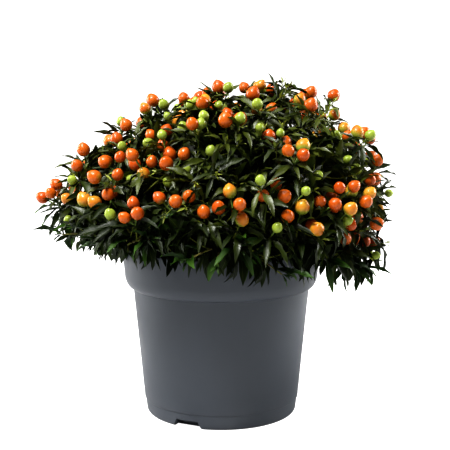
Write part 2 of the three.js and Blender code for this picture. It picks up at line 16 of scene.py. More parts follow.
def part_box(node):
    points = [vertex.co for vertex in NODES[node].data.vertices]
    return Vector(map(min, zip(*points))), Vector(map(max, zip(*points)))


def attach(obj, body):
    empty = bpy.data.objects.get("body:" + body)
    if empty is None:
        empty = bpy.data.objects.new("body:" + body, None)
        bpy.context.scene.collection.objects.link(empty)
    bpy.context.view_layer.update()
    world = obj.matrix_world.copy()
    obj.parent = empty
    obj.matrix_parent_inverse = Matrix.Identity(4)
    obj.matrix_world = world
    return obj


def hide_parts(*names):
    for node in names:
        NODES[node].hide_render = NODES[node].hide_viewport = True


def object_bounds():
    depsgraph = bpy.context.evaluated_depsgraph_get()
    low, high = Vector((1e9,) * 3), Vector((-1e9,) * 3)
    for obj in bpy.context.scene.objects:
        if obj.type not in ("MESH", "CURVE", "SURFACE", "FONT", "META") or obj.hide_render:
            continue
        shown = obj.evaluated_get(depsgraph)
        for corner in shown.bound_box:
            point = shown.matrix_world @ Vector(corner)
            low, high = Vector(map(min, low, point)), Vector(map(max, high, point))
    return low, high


bl_info = {
    "name": "Potted Jerusalem Cherry",
    "version": (1, 0, 0),
    "blender": (4, 5, 0),
    "location": "View3D > Sidebar > Cherry",
    "description": "Builds a potted jerusalem cherry around its solids",
    "category": "Add Mesh",
}

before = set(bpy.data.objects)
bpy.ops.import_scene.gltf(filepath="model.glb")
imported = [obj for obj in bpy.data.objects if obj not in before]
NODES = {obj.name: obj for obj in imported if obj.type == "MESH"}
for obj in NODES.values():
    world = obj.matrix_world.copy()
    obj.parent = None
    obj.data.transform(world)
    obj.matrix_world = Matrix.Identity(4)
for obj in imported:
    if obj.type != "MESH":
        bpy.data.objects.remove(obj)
CAD_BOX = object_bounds()
BODY = "root"
MM = 0.001

# Numbers that every part uses
TINY = 1e-9
BLACK = (0, 0, 0, 1)
WHITE = (1, 1, 1, 1)

# Gap between one solid of the plant and the next
CUT_GAP = 0.3 * MM

# Pot, a 19 cm nursery container. Its collar is rolled over an arc, given by the first and
# the last angle and the number of points
POT_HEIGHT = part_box("pot")[1].z
RIM_RADIUS = 95 * MM
RIM_ROUNDING = 1.2 * MM
COLLAR_RADIUS = 92.4 * MM
COLLAR_BOTTOM = 121.8 * MM
COLLAR_ROUNDING = 13.8 * MM
COLLAR_ARC = (8, 90, 12)
SHOULDER_RADIUS = 84.3 * MM
FOOT_TOP = 13.8 * MM
FOOT_TOP_RADIUS = 74.2 * MM
FOOT_STEP = 0.8 * MM
FOOT_STEP_HEIGHT = 1.5 * MM
FOOT_RADIUS = 72.1 * MM
FOOT_ROUNDING = 3.7 * MM
SOLE_MARGIN = 3 * FOOT_ROUNDING
POT_WALL = 2.4 * MM
POT_FLOOR = 3 * MM
POT_SIDES = 144
POT_SHARP_FROM = 34
MERGE_DISTANCE = 1e-6
DRAINS = 3
DRAIN_FIRST_AZIMUTH = -26
DRAIN_DEPTH = 13 * MM
DRAIN_HEIGHT = 7.6 * MM
DRAIN_WIDTH_LOW = 29 * MM
DRAIN_WIDTH_HIGH = 22 * MM
DRAIN_CUT_PAST = 20 * MM
SLOT_WIDTH = 13 * MM
SLOT_HEIGHT = 3 * MM
SLOT_BOTTOM = 3.4 * MM

# Potting mix. Its lumps are noises: share, level and scale of each
SOIL_TOP = 150 * MM
SOIL_RADIUS = COLLAR_RADIUS - POT_WALL - CUT_GAP
SOIL_MOUND_RADIUS = 25 * MM
SOIL_EDGE_FALL = 3.4 * MM
SOIL_SINK = 0.6 * MM
SOIL_RINGS = 40
SOIL_SIDES = 96
SOIL_ROUGHNESS = 1.1 * MM
SOIL_LUMPS = ((1.0, 0.3, 160), (0.5, 0.7, 420))
CRUMB_RADIUS = 1.7 * MM
CRUMB_SIZES = (0.35, 1.1)
CRUMB_ROUGHNESS = 0.35
CRUMB_FLATNESS = 0.7
CRUMB_LIFT = 0.2
CRUMBS_FROM = 0.04

# Short main stem
STEM_TOP = 186 * MM
STEM_RADIUS_LOW = 8.2 * MM
STEM_RADIUS_HIGH = 6.2 * MM
STEM_FLARE = 5 * MM
STEM_FLARE_FALL = 7
STEM_LEAN = 4 * MM
STEM_BEND_HEIGHT = 165 * MM
STEM_SIDES = 40
STEM_STEPS = 60

# Bark: ridges along the limbs, and knots, with no relief at a limb's very ends
RIDGES_ROUND = 3.2
RIDGES_ALONG = 90
RIDGE_SHARE = 0.55
KNOT_SCALE = 240
KNOT_SHARE = 0.45
BARK_SET_BACK = 0.4
LIMB_END = 0.001

# Crown: how far it reaches from the fork where its boughs start
FORK = np.array([0, 0, 166]) * MM
CROWN_LEFT = 197 * MM
CROWN_RIGHT = 171 * MM
CROWN_FRONT = 170 * MM
CROWN_BACK = 170 * MM
CROWN_RISE = 161 * MM
CROWN_LEAN = 34 * MM
CROWN_FULLNESS = 1.9
CROWN_LOBE = 0.04
LOW_LOBES = {"count": 5, "start": 1.2}
HIGH_LOBES = {"count": 3, "turn": 6, "start": 2.6}

# Underside of the crown: a shallow bowl round the pot, a little lower on the right
UNDERSIDE_LOWEST = 106 * MM
UNDERSIDE_TILT = 0.14
UNDERSIDE_UPTURN = 0.28
UNDERSIDE_STRETCH = 1.3

# Boughs and the masses that they carry: name, count, first azimuth, elevation and the
# heights on the stem where they start
TIERS = (
    ("skirt", 6, 8, 1, (158 * MM, 163 * MM)),
    ("flank", 6, 38, 33, (168 * MM, 174 * MM)),
    ("top", 3, 80, 68, (181 * MM,)),
)
AZIMUTH_SHAKE = 0.3
ELEVATION_SHAKE = 6
BOUGH_REACH = 56 * MM
BOUGH_RADII = (2.5 * MM, 2 * MM)
BOUGH_BEND = 0.5
BOUGH_SIDES = 14
BOUGH_STEPS = 28

# The stem of a mass
MASS_STEM_REACH = 0.6
MASS_STEM_RISE = 4 * MM
MASS_STEM_BEND = 0.6
MASS_STEM_RADII = (2 * MM, 1.3 * MM)
MASS_STEM_FORKS = (0.3, 0.55, 0.8, 0.97)

# Shoots: first those of the solids, then finer ones by the same rule. A rule gives how deep
# in the crown its outer and inner tips lie, with the spread, and how far short of that they
# stay, which is less on the upper right, where the crown is fuller. A tip that is too low
# over the underside is raised, more so towards the front and the back, and it is left out
# if that takes more than the most
MAIN_SHOOTS = 96
FILL_SHOOTS = 340
LOWEST_SHOOT = -10
GOLDEN_TURN = math.radians(137.5)
TIP_JITTER = 0.08
TIP_MARGIN = 0.02
TIP_PULL = 0.05
MAIN_RULE = {
    "outer": (0.96, 0.05),
    "inner_every": 4,
    "inner": (0.7, 0),
    "flattening": 0.5,
    "arch": 0.13,
    "short": 27 * MM,
    "fuller_right": 0,
    "shortest": 34 * MM,
    "above_underside": 8 * MM,
    "tuck": 0,
    "most_raised": CROWN_RISE,
}
FINE_RULE = {
    "outer": (0.83, 0.18),
    "inner_every": 8,
    "inner": (0.74, 0),
    "flattening": 0.5,
    "arch": -0.08,
    "short": 21 * MM,
    "fuller_right": 1.5,
    "shortest": 22 * MM,
    "above_underside": 18 * MM,
    "tuck": 0.3,
    "most_raised": 6 * MM,
}
FILL_RULE = {
    "inner_every": 1,
    "inner": (0.42, 0.4),
    "flattening": 0.9,
    "arch": 0,
    "short": 0,
    "fuller_right": 0,
    "shortest": 22 * MM,
    "above_underside": 14 * MM,
    "tuck": 0.3,
    "most_raised": CROWN_RISE,
}
TUCK_FROM = 60 * MM
SHORT_SHOOT_COST = 90 * MM
TURN_COST = 0.9
MAIN_FORKS = (0.38, 0.62)
FINE_FORKS = (0.25, 0.5, 0.7, 0.88)
FORK_STEP = 1.4 * MM
SHOOT_SET_OFF = 0.3
SHOOT_MIDDLE = 0.55
SHOOT_STRAIGHTENING = 0.6
SHOOT_SWEEP = 0.35
MAIN_RADII = (1.15 * MM, 0.6 * MM)
FINE_RADII = (0.8 * MM, 0.45 * MM)
SHOOT_SIDES = 6
SHOOT_STEPS = 7
CURVE_SAMPLES = 12

# Clearances, and where along a leaf they are looked at
POT_CLEARANCE = 1 * MM
LEAF_HANG_BELOW = 6 * MM
LEAF_PAST_OUTLINE = 1.03
LEAF_PAST_SOLIDS = 8 * MM
LEAF_FIT_SAMPLES = (0.35, 0.7, 1)

# Leaves along the shoots: in spirals along them, in a rosette round their tips, and
# young ones at the very tips
LEAF_FIELDS = ("root", "way", "face", "length", "width", "bend", "twist", "phase", "kind", "outer", "low")
LEAF_SPACING = 5.8 * MM
LEAF_PLACES = (0.25, 0.88)
FEWEST_LEAVES = 3
ROSETTE_PLACES = (0.88, 0.99)
ROSETTE_LEAVES = 7
YOUNG_LEAVES = 3
LEAF_OPENING = 1.15
ROSETTE_OPENING = 1.22
YOUNG_OPENING = 0.45
LEAF_OPENING_SPREAD = 0.4
LEAF_SIZES = (0.72, 1.08)
LEAF_WIDTHS = (0.85, 1.12)
ROSETTE_SIZE = 0.98
YOUNG_SIZE = 0.32
LEAF_SHRINKS = (1, 0.82, 0.66)
WHOLE_LEAVES_BELOW = 0.15
LEAF_HANG = 0.05
SKIRT_HANG = 0.75
SKIRT_DEPTH = 34 * MM
SIZES_BY_HEIGHT = ((0, 1.14), (60 * MM, 1.0), (160 * MM, 0.9))
SKIRT_THINNING = 0.62
SKIRT_BROADENING = 0.3
# Painted shade under the crown: the skirt's leaves from here take the dark hanging colour, and leaves below
# this height over the underside go one kind darker
SKIRT_DARK_FROM = 0.15
DARKER_BELOW = 58 * MM

# One leaf: how its blade is laid, bent and rippled, and the shape of its outline
LEAF_BEND = (0.35, 1.05)
YOUNG_BEND = 0.4
LEAF_TWIST = 0.6
LEAF_ROLL = 0.45
LEAF_FOLLOWS_SHOOT = 0.5
SKYWARD = (0.001, 0, 1.0)
FACE_NUDGE = 1e-4
LEAF_CUP = 0.6
LEAF_WAVE = 0.16
LEAF_WAVES = 2.5
LEAF_WAVE_SHIFT = 1.7
LEAF_STALK_SHARE = 0.1
LEAF_STALK_WIDTH = 0.07
BLADE_BELLY = 0.86
BLADE_ROUNDNESS = 0.85
BLADE_POINTING = 0.28
BLADE_PEAK = 0.9
LEAF_COLUMNS = 2
LEAF_ROWS = 8
MIDRIB_COLUMNS = 2
MIDRIB_ROWS = 6
MIDRIB_REACH = 0.96
MIDRIB_WIDTH = 0.42 * MM
MIDRIB_TAPER = 0.6
MIDRIB_LIFT = 0.12 * MM
MIDRIB_RIDGE = 0.6
MIDRIBS_FROM = 0.6

# The kinds of leaves, with the name, roughness and gloss of each, and how likely a spray
# of the first three is
DEEP, MIDDLE, FRESH, YOUNG, HANGING = range(5)
LEAF_FINISHES = (
    ("deep", 0.45, 0.17),
    ("middle", 0.40, 0.4),
    ("fresh", 0.40, 0.4),
    ("young", 0.42, 0.4),
    ("hanging", 0.42, 0.14),
)
SPRAY_KINDS = (0.5, 0.5, 0)
# The inner sprays are mostly deep, as painted shade inside the crown
INNER_SPRAY_KINDS = (0.9, 0.1, 0)

# Berries: ripe ones at nodes a little below the tips, green ones on the tips
RIPE, ORANGE, TURNING, GREEN = range(4)
RIPENESS = (0.45, 0.29, 0.26)
BERRY_NODES = (0.7, 0.97)
BERRY_CLUSTERS = (0.52, 0.33, 0.15)
BERRY_SIZES = (0.84, 1.08)
BERRY_STALK = 11 * MM
BERRY_STALKS = (0.6, 1.4)
BERRY_OUTWARDS = 0.6
BERRY_LIFT = (0, 0, 0.6)
BERRY_LEAN = 0.15
ALONE_ASIDE = 0.25
CLUSTER_ASIDE = 0.75
ASIDE_RISE = 0.1
GREEN_SIZES = (0.8, 1.08)
GREEN_STALK = 5 * MM
GREEN_OUTWARDS = 0.3
GREEN_LIFT = (0, 0, 0.3)
GREEN_LEAN = 0.2
BERRY_GAP = 0.1 * MM
BERRY_ABOVE_UNDERSIDE = 10 * MM
BERRY_DEPTHS = (0.76, 1.02)

# Shares of the shoots with berries, by height over the crown's underside
BERRY_SHARES = (
    (12 * MM, 0.1),
    (30 * MM, 0.75),
    (60 * MM, 1.0),
    (85 * MM, 0.52),
    (120 * MM, 0.32),
    (170 * MM, 0.55),
)
GREEN_SHARES = ((12 * MM, 0.1), (40 * MM, 0.3), (70 * MM, 0.38), (170 * MM, 0.3))

# Leaves that hide a berry: where on them it is looked for, and how near, in its radii
HIDING_SAMPLES = (0.3, 0.5, 0.7, 0.85, 1)
HIDING_TOUCH = 1.1
HIDING_VIEW = 0.8

# One berry with its stalk and calyx, in the berry's radii where no unit is given
BERRY_SIDES = 12
BERRY_RINGS = 8
BERRY_EGG = 0.05
BERRY_STRETCH = 0.06
BERRY_TIP = 0.15
BERRY_TIP_SHARPNESS = 12
RIPENING_LEAN = 0.6
RIPENING_UP = (0, 0, 0.9)
RIPENING_REACH = 0.6
STALK_RADII = (0.55 * MM, 0.825 * MM)
STALK_SIDES = 5
STALK_STEPS = 4
STALK_REACH = 0.98
STALK_BOW = 0.8 * MM
SEPALS = 5
SEPAL_NOTCH = 0.3
CALYX_REACH = 0.62
CALYX_LIFT = 1.03
CALYX_ROUNDING = 0.95
BERRY_ACROSS = (1.0, 0.2, 0.0)

# Patterns of the materials
MOTTLE_EDGES = (0.32, 0.68)
SWELL_SCALE = 0.08
SCUFFS = 0.3
DUST_TOP = 30 * MM
DUST_MOST = 0.45
DUST_LIGHTNESS = 1.5
BARK_STRETCH = (1.0, 1.0, 0.35)
SIDE_VEIN_SLANT = 0.34
SIDE_VEIN_SHARPNESS = 0.4
# Where the painted light on a hanging leaf's tip starts, along the leaf
PAINTED_TIP_LIGHT_FROM = 0.35
LEAF_PALE_BELOW = 1.4

# Seeds
TIP_SEED = 7
FINE_TIP_SEED = 21
FILL_TIP_SEED = 31
LEAF_SEED = 41
BERRY_SEED = 62
SOIL_SEED = 5

# Stage: the name, place, size and power of each light, and how the picture is developed
FLOOR_HALF = 6.0
LIGHTS = (
    ("key", (-0.6, -0.8, 1.6), 0.5, 40.0),
    ("left edge", (-1.25, 0.45, 0.55), 0.8, 17.0),
    ("right edge", (1.25, 0.4, 0.6), 0.8, 22.0),
    ("front fill", (0.5, -1.6, 0.5), 1.2, 1.0),
)
LIGHT_TARGET = (0, 0, 0.17)
SUN_PLACE = (-0.35, -0.15, 1.5)
SUN_STRENGTH = 2.0
SUN_ANGLE = 50
WORLD_STRENGTH = 0.04
LOOK = "High Contrast"

# The photograph's frame and its camera
IMAGE_SIZE = 450
FOCAL_PIXELS = 1056
SENSOR_WIDTH = 36


# Settings


def colour_setting(name, description, default):
    return FloatVectorProperty(
        name=name, description=description, default=default, subtype="COLOR", min=0, max=1, size=3
    )


def number_setting(name, description, default, **limits):
    return FloatProperty(name=name, description=description, default=default, **limits)


def length_setting(name, description, default):
    return number_setting(name, description, default, unit="LENGTH", min=0)


def count_setting(name, description, default):
    return IntProperty(name=name, description=description, default=default, min=0)


class CherryPotSettings(bpy.types.PropertyGroup):
    colour: colour_setting("Plastic", "Colour of the pot's plastic", (0.050, 0.057, 0.069))
    worn: colour_setting("Scuffed plastic", "Colour where the plastic is scuffed", (0.064, 0.070, 0.079))
    grain: length_setting("Grain", "Size of the moulded grain", 0.9 * MM)


class CherrySoilSettings(bpy.types.PropertyGroup):
    dark: colour_setting("Wet mix", "Colour of the wet potting mix", (0.012, 0.007, 0.004))
    light: colour_setting("Dry mix", "Colour of the dry potting mix", (0.055, 0.032, 0.018))
    crumbs: count_setting("Crumbs", "Loose crumbs on the mix", 700)


class CherryWoodSettings(bpy.types.PropertyGroup):
    bark: colour_setting("Bark", "Colour of the bark", (0.085, 0.052, 0.026))
    ridge: colour_setting("Bark ridges", "Colour of the bark's dry ridges", (0.21, 0.15, 0.085))
    shoot: colour_setting("Shoots", "Colour of the green shoots", (0.13, 0.15, 0.02))
    relief: length_setting("Relief", "Depth of the bark's relief", 0.7 * MM)


class CherryFoliageSettings(bpy.types.PropertyGroup):
    fine_shoots: count_setting("Fine shoots", "Shoots past the main ones", 380)
    leaf_length: length_setting("Leaf length", "Length of a full leaf", 31 * MM)
    leaf_width: length_setting("Leaf width", "Width of a full leaf", 6.8 * MM)
    # The deep colour is also painted shade on the inner and low leaves, and the hanging colour is painted
    # shade on the skirt
    deep: colour_setting("Deep leaves", "Colour of the old leaves", (0.008, 0.0145, 0.0009))
    hanging: colour_setting("Hanging leaves", "Colour of the leaves over the rim", (0.006, 0.017, 0.0012))
    middle: colour_setting("Middle leaves", "Colour of the full leaves", (0.019, 0.029, 0.0016))
    fresh: colour_setting("Fresh leaves", "Colour of the fresh leaves", (0.045, 0.058, 0.005))
    young: colour_setting("Young leaves", "Colour of the young tips", (0.20, 0.23, 0.035))
    # The hanging leaves' tip colour is painted light
    hanging_tip_painted_light: colour_setting("Painted light on hanging tips", "Colour of the hanging leaves' tips", (0.042, 0.095, 0.012))
    vein: colour_setting("Midribs", "Colour of the midribs", (0.035, 0.045, 0.010))


class CherryBerrySettings(bpy.types.PropertyGroup):
    share: number_setting("Share", "Share of outer shoots with berries", 0.9, min=0, max=1)
    radius: length_setting("Ripe radius", "Radius of a ripe berry", 6.15 * MM)
    green_radius: length_setting("Green radius", "Radius of a green berry", 4.8 * MM)
    ripe: colour_setting("Ripe", "Colour of the ripe berries", (0.39, 0.066, 0.006))
    orange: colour_setting("Orange", "Colour of the berries not yet red", (0.44, 0.100, 0.008))
    turning: colour_setting("Turning", "Colour of the turning berries", (0.52, 0.29, 0.035))
    olive: colour_setting("Olive", "Colour of a ripe berry round its stalk", (0.20, 0.13, 0.015))
    green: colour_setting("Green", "Colour of the green berries", (0.27, 0.34, 0.05))
    stalk: colour_setting("Stalks", "Colour of stalks and calyxes", (0.11, 0.17, 0.03))


class CherryStageSettings(bpy.types.PropertyGroup):
    camera_distance: length_setting("Camera distance", "From the pot's axis, along Y", 1.0)
    camera_height: length_setting("Camera height", "Height of the camera", 0.3166)
    camera_side: length_setting("Camera side", "How far right the camera stands", 0.0036)
    camera_pitch: number_setting("Camera pitch", "How far the camera looks down", 0.136, subtype="ANGLE")
    floor: colour_setting("Floor", "Colour of the floor", (0.55, 0.55, 0.55))
    floor_glow: number_setting("Floor glow", "Light of the lit table", 0.72, min=0)
    floor_spill: number_setting("Floor spill", "Its light on the plant", 0.06, min=0)


# Arithmetic on vectors held as arrays


def unit(vectors):
    return vectors / np.linalg.norm(vectors, axis=-1, keepdims=True)


def dots(a, b):
    return np.sum(a * b, axis=-1, keepdims=True)


def square_to(vectors, axes):
    """The vectors made square to unit axes, at unit length."""
    return unit(vectors - dots(vectors, axes) * axes)


def direction(azimuth, elevation):
    a, e = math.radians(azimuth), math.radians(elevation)
    return np.array([math.sin(a) * math.cos(e), -math.cos(a) * math.cos(e), math.sin(e)])


class Draws:
    """Draws between 0 and 1 by the solids' own rule, the same each time for one seed."""

    RANGE = 2**32
    START = (747796405, 12345)
    STEP = (1664525, 1013904223)

    def __init__(self, seed):
        self.state = self.scrambled(seed, self.START)
        self.next()
        self.next()

    def scrambled(self, value, step):
        return (value * step[0] + step[1]) % self.RANGE

    def next(self):
        self.state = self.scrambled(self.state, self.STEP)
        return self.state / self.RANGE


class Bend:
    """A quadratic curve from a start towards a bend and on to an end."""

    SAMPLES = np.linspace(0, 1, 201)
    ASKEW = (0.3, 0.8, 0.1)

    def __init__(self, start, bend, end):
        self.controls = np.array([start, bend, end])

    def points(self, shares):
        t = np.asarray(shares, float)[:, None]
        a, b, c = self.controls
        return a * (1 - t) ** 2 + 2 * b * t * (1 - t) + c * t**2

    def tangents(self, shares):
        t = np.asarray(shares, float)[:, None]
        a, b, c = self.controls
        return unit((b - a) * (1 - t) + (c - b) * t)

    @functools.cached_property
    def lengths(self):
        steps = np.diff(self.points(self.SAMPLES), axis=0)
        return np.concatenate([[0], np.cumsum(np.linalg.norm(steps, axis=1))])

    @property
    def length(self):
        return self.lengths[-1]

    def even(self, shares):
        """Curve shares that lie at the given shares of the length."""
        return np.interp(np.asarray(shares) * self.length, self.lengths, self.SAMPLES)

    def sideways(self):
        """A unit vector square to the whole curve."""
        start, bend, end = self.controls
        across = np.cross(bend - start, end - bend)
        size = np.linalg.norm(across)
        if size > TINY:
            return across / size
        return unit(np.cross(end - start, self.ASKEW))


# The crown's outline, and what is clear of it


def crown_reach(ways):
    """Distance from the fork to the crown's outline along each unit vector."""
    x, y, z = np.moveaxis(ways, -1, 0)
    half_x = np.where(x < 0, CROWN_LEFT, CROWN_RIGHT)
    half_y = np.where(y < 0, CROWN_FRONT, CROWN_BACK)
    rise = np.maximum(z, 0)
    leant = x - (CROWN_LEAN / CROWN_RISE) * rise
    shares = np.stack([leant / half_x, y / half_y, z / CROWN_RISE])
    total = np.sum(np.abs(shares) ** CROWN_FULLNESS, axis=0)
    azimuth = np.arctan2(x, -y)
    low = np.sin(LOW_LOBES["count"] * azimuth + LOW_LOBES["start"]) * (1 - rise)
    high = np.sin(HIGH_LOBES["count"] * azimuth + HIGH_LOBES["turn"] * rise + HIGH_LOBES["start"])
    return (1 + CROWN_LOBE * (low + high) / 2) / total ** (1 / CROWN_FULLNESS)


def underside_at(points):
    """Height of the crown's underside below or above each point."""
    away = np.hypot(points[..., 0], UNDERSIDE_STRETCH * points[..., 1])
    return UNDERSIDE_LOWEST - UNDERSIDE_TILT * points[..., 0] + UNDERSIDE_UPTURN * away


def outline_share(points):
    """How far out each point is, from 0 at the fork to 1 on the crown's outline."""
    out = points - FORK
    size = np.linalg.norm(out, axis=-1)
    return size / crown_reach(out / np.maximum(size, TINY)[..., None])


def clear_of_pot(points, margin):
    """Whether points are above the rim or past it, by a margin and the pot's clearance."""
    gap = margin + POT_CLEARANCE
    away = np.hypot(points[..., 0], points[..., 1]) - gap > RIM_RADIUS
    return (points[..., 2] - gap > POT_HEIGHT) | away


# Plan of the boughs and masses


class Mass:
    """One bough, the stem of its foliage, and the forks where shoots may start."""

    def __init__(self, label, heading, start):
        self.label = label
        self.heading = heading
        tip = FORK + heading * BOUGH_REACH
        self.bough = Bend(start, tip - heading * BOUGH_BEND * np.linalg.norm(tip - start), tip)
        low = tip + heading * CUT_GAP
        high = FORK + heading * crown_reach(heading) * MASS_STEM_REACH
        high[2] += MASS_STEM_RISE
        self.stem = Bend(low, low + heading * MASS_STEM_BEND * np.linalg.norm(high - low), high)
        self.forks = []
        self.add_forks(self.stem, MASS_STEM_FORKS)

    def add_forks(self, curve, shares):
        """Places on a curve where new shoots may start."""
        for point, way in zip(curve.points(shares), curve.tangents(shares)):
            self.forks.append({"point": point, "way": way, "used": 0})


STEM_CURVE = Bend(
    (-STEM_LEAN, 0, SOIL_TOP + CUT_GAP),
    (-STEM_LEAN, 0, STEM_BEND_HEIGHT),
    (STEM_LEAN / 2, 0, STEM_TOP),
)


def stem_point(height):
    share = min(max((height - SOIL_TOP) / (STEM_TOP - SOIL_TOP), 0), 1)
    return STEM_CURVE.points(STEM_CURVE.even([share]))[0]


def plan_masses():
    masses = []
    for name, count, first, elevation, starts in TIERS:
        for i in range(count):
            draw = Draws(len(masses) + 1)
            azimuth = first + (i + AZIMUTH_SHAKE * (draw.next() - 0.5)) * 360 / count
            heading = direction(azimuth, elevation + ELEVATION_SHAKE * (draw.next() - 0.5))
            masses.append(Mass(f"{name}_{i + 1}", heading, stem_point(starts[i % len(starts)])))
    return masses


# Shoots


def share_out_tips(masses, count, seed, rule):
    """Shoot tips on an even golden-turn spiral, each with the mass whose space it is in."""
    headings = np.array([mass.heading for mass in masses])
    draw = Draws(seed)
    lowest = math.sin(math.radians(LOWEST_SHOOT))
    tips = []
    for i in range(count):
        rise = lowest + (1 - lowest) * (i + 0.5) / count
        level = math.sqrt(1 - rise * rise)
        azimuth = i * GOLDEN_TURN
        way = np.array([math.sin(azimuth) * level, -math.cos(azimuth) * level, rise])
        way += TIP_JITTER * (np.array([draw.next(), draw.next(), draw.next()]) - 0.5)
        inner = i % rule["inner_every"] == rule["inner_every"] - 1
        if inner:
            way[2] *= rule["flattening"]
        way = unit(way)
        at = int(np.argmax(headings @ way))
        across = unit(np.delete(headings[at] - headings, at, axis=0))
        while (across @ way).min() < TIP_MARGIN:
            way = unit(way + TIP_PULL * (headings[at] - way))
        depth, spread = rule["inner" if inner else "outer"]
        depth += spread * draw.next() if spread else 0
        short = rule["short"] * (1 - rule["fuller_right"] * max(0, way[0]) * way[2] ** 2)
        tip = FORK + way * (crown_reach(way) * depth - short)
        tuck = rule["tuck"] * max(0, abs(tip[1]) - TUCK_FROM)
        raised = max(0, underside_at(tip) + rule["above_underside"] + tuck - tip[2])
        tip[2] += raised
        if raised <= rule["most_raised"]:
            tips.append((masses[at], tip, inner))
    return tips


def shoot_curve(root, way, tip, arch):
    """A shoot's curve, which rises towards the upper crown and arches over lower down."""
    length = np.linalg.norm(tip - root)
    rise = (tip[2] - FORK[2]) / CROWN_RISE
    set_off = root + way * length * SHOOT_SET_OFF
    middle = root + (tip - root) * SHOOT_MIDDLE
    bend = set_off + (middle - set_off) * SHOOT_STRAIGHTENING
    bend[2] += length * (arch - SHOOT_SWEEP * rise)
    return Bend(root, bend, tip)


def grow_shoot(mass, tip, rule, new_forks):
    """One shoot from the fork that reaches its tip with the least length and turn."""
    points = np.array([fork["point"] for fork in mass.forks])
    ways = np.array([fork["way"] for fork in mass.forks])
    lengths = np.linalg.norm(tip - points, axis=1)
    turns = 1 - np.sum((tip - points) * ways, axis=1) / lengths
    costs = lengths * (1 + TURN_COST * turns) + np.where(lengths < rule["shortest"], SHORT_SHOOT_COST, 0)
    fork = mass.forks[int(np.argmin(costs))]
    root = fork["point"] - fork["way"] * FORK_STEP * fork["used"]
    curve = shoot_curve(root, fork["way"], tip, rule["arch"])
    if not clear_of_pot(curve.points(np.linspace(0, 1, CURVE_SAMPLES + 1)), MAIN_RADII[0]).all():
        return None
    fork["used"] += 1
    mass.add_forks(curve, new_forks)
    return curve


class Shoot:
    """A leafy shoot: its curve, its radii, and whether it ends inside the crown."""

    def __init__(self, curve, radii, inner):
        self.curve = curve
        self.radii = radii
        self.inner = inner


@functools.cache
def grow_crown(fine_count):
    """The masses of the crown, and all its shoots in growing order."""
    masses = plan_masses()
    shoots = []
    passes = (
        (MAIN_SHOOTS, TIP_SEED, MAIN_RULE, MAIN_FORKS, MAIN_RADII),
        (FILL_SHOOTS, FILL_TIP_SEED, FILL_RULE, (), FINE_RADII),
        (fine_count, FINE_TIP_SEED, FINE_RULE, (), FINE_RADII),
    )
    for count, seed, rule, forks, radii in passes:
        for mass, tip, inner in share_out_tips(masses, count, seed, rule):
            curve = grow_shoot(mass, tip, rule, forks)
            if curve is not None:
                shoots.append(Shoot(curve, radii, inner))
        for shoot in list(shoots) if radii is MAIN_RADII else ():
            out = unit(shoot.curve.controls[2] - FORK)
            headed_there = max(masses, key=lambda mass: float(out @ mass.heading))
            headed_there.add_forks(shoot.curve, FINE_FORKS)
    return masses, shoots


# Leaves as rows of arrays


def leaf_sizes(rng, counts, height, low, young):
    """Sizes as shares of a full leaf's, less higher up. A size of 0 thins out the skirt."""
    sizes = rng.uniform(*LEAF_SIZES, len(height)) * np.repeat((1, ROSETTE_SIZE, YOUNG_SIZE), counts)
    sizes = sizes * np.interp(height, *np.transpose(SIZES_BY_HEIGHT))
    return sizes * (young | (rng.random(len(height)) > SKIRT_THINNING * low))


def leaf_kinds(shoot, rng, count, height, low, young):
    """One kind for a spray, but fresher past its first leaves and darker lower down. Mostly deep sprays
    inside the crown, and darker kinds lower down, are painted shade.
    """
    shares = INNER_SPRAY_KINDS if shoot.inner else SPRAY_KINDS
    kinds = np.full(len(height), rng.choice((DEEP, MIDDLE, FRESH), p=shares))
    if not shoot.inner:
        # Painted shade: darker kinds low over the underside, and the dark hanging colour on the skirt
        shaded = height < DARKER_BELOW
        kinds[count:] = np.minimum(kinds[count:] + 1, FRESH)
        kinds[shaded] = np.maximum(kinds[shaded] - 1, DEEP)
        kinds[young] = YOUNG
        kinds[low > SKIRT_DARK_FROM] = HANGING
    return kinds


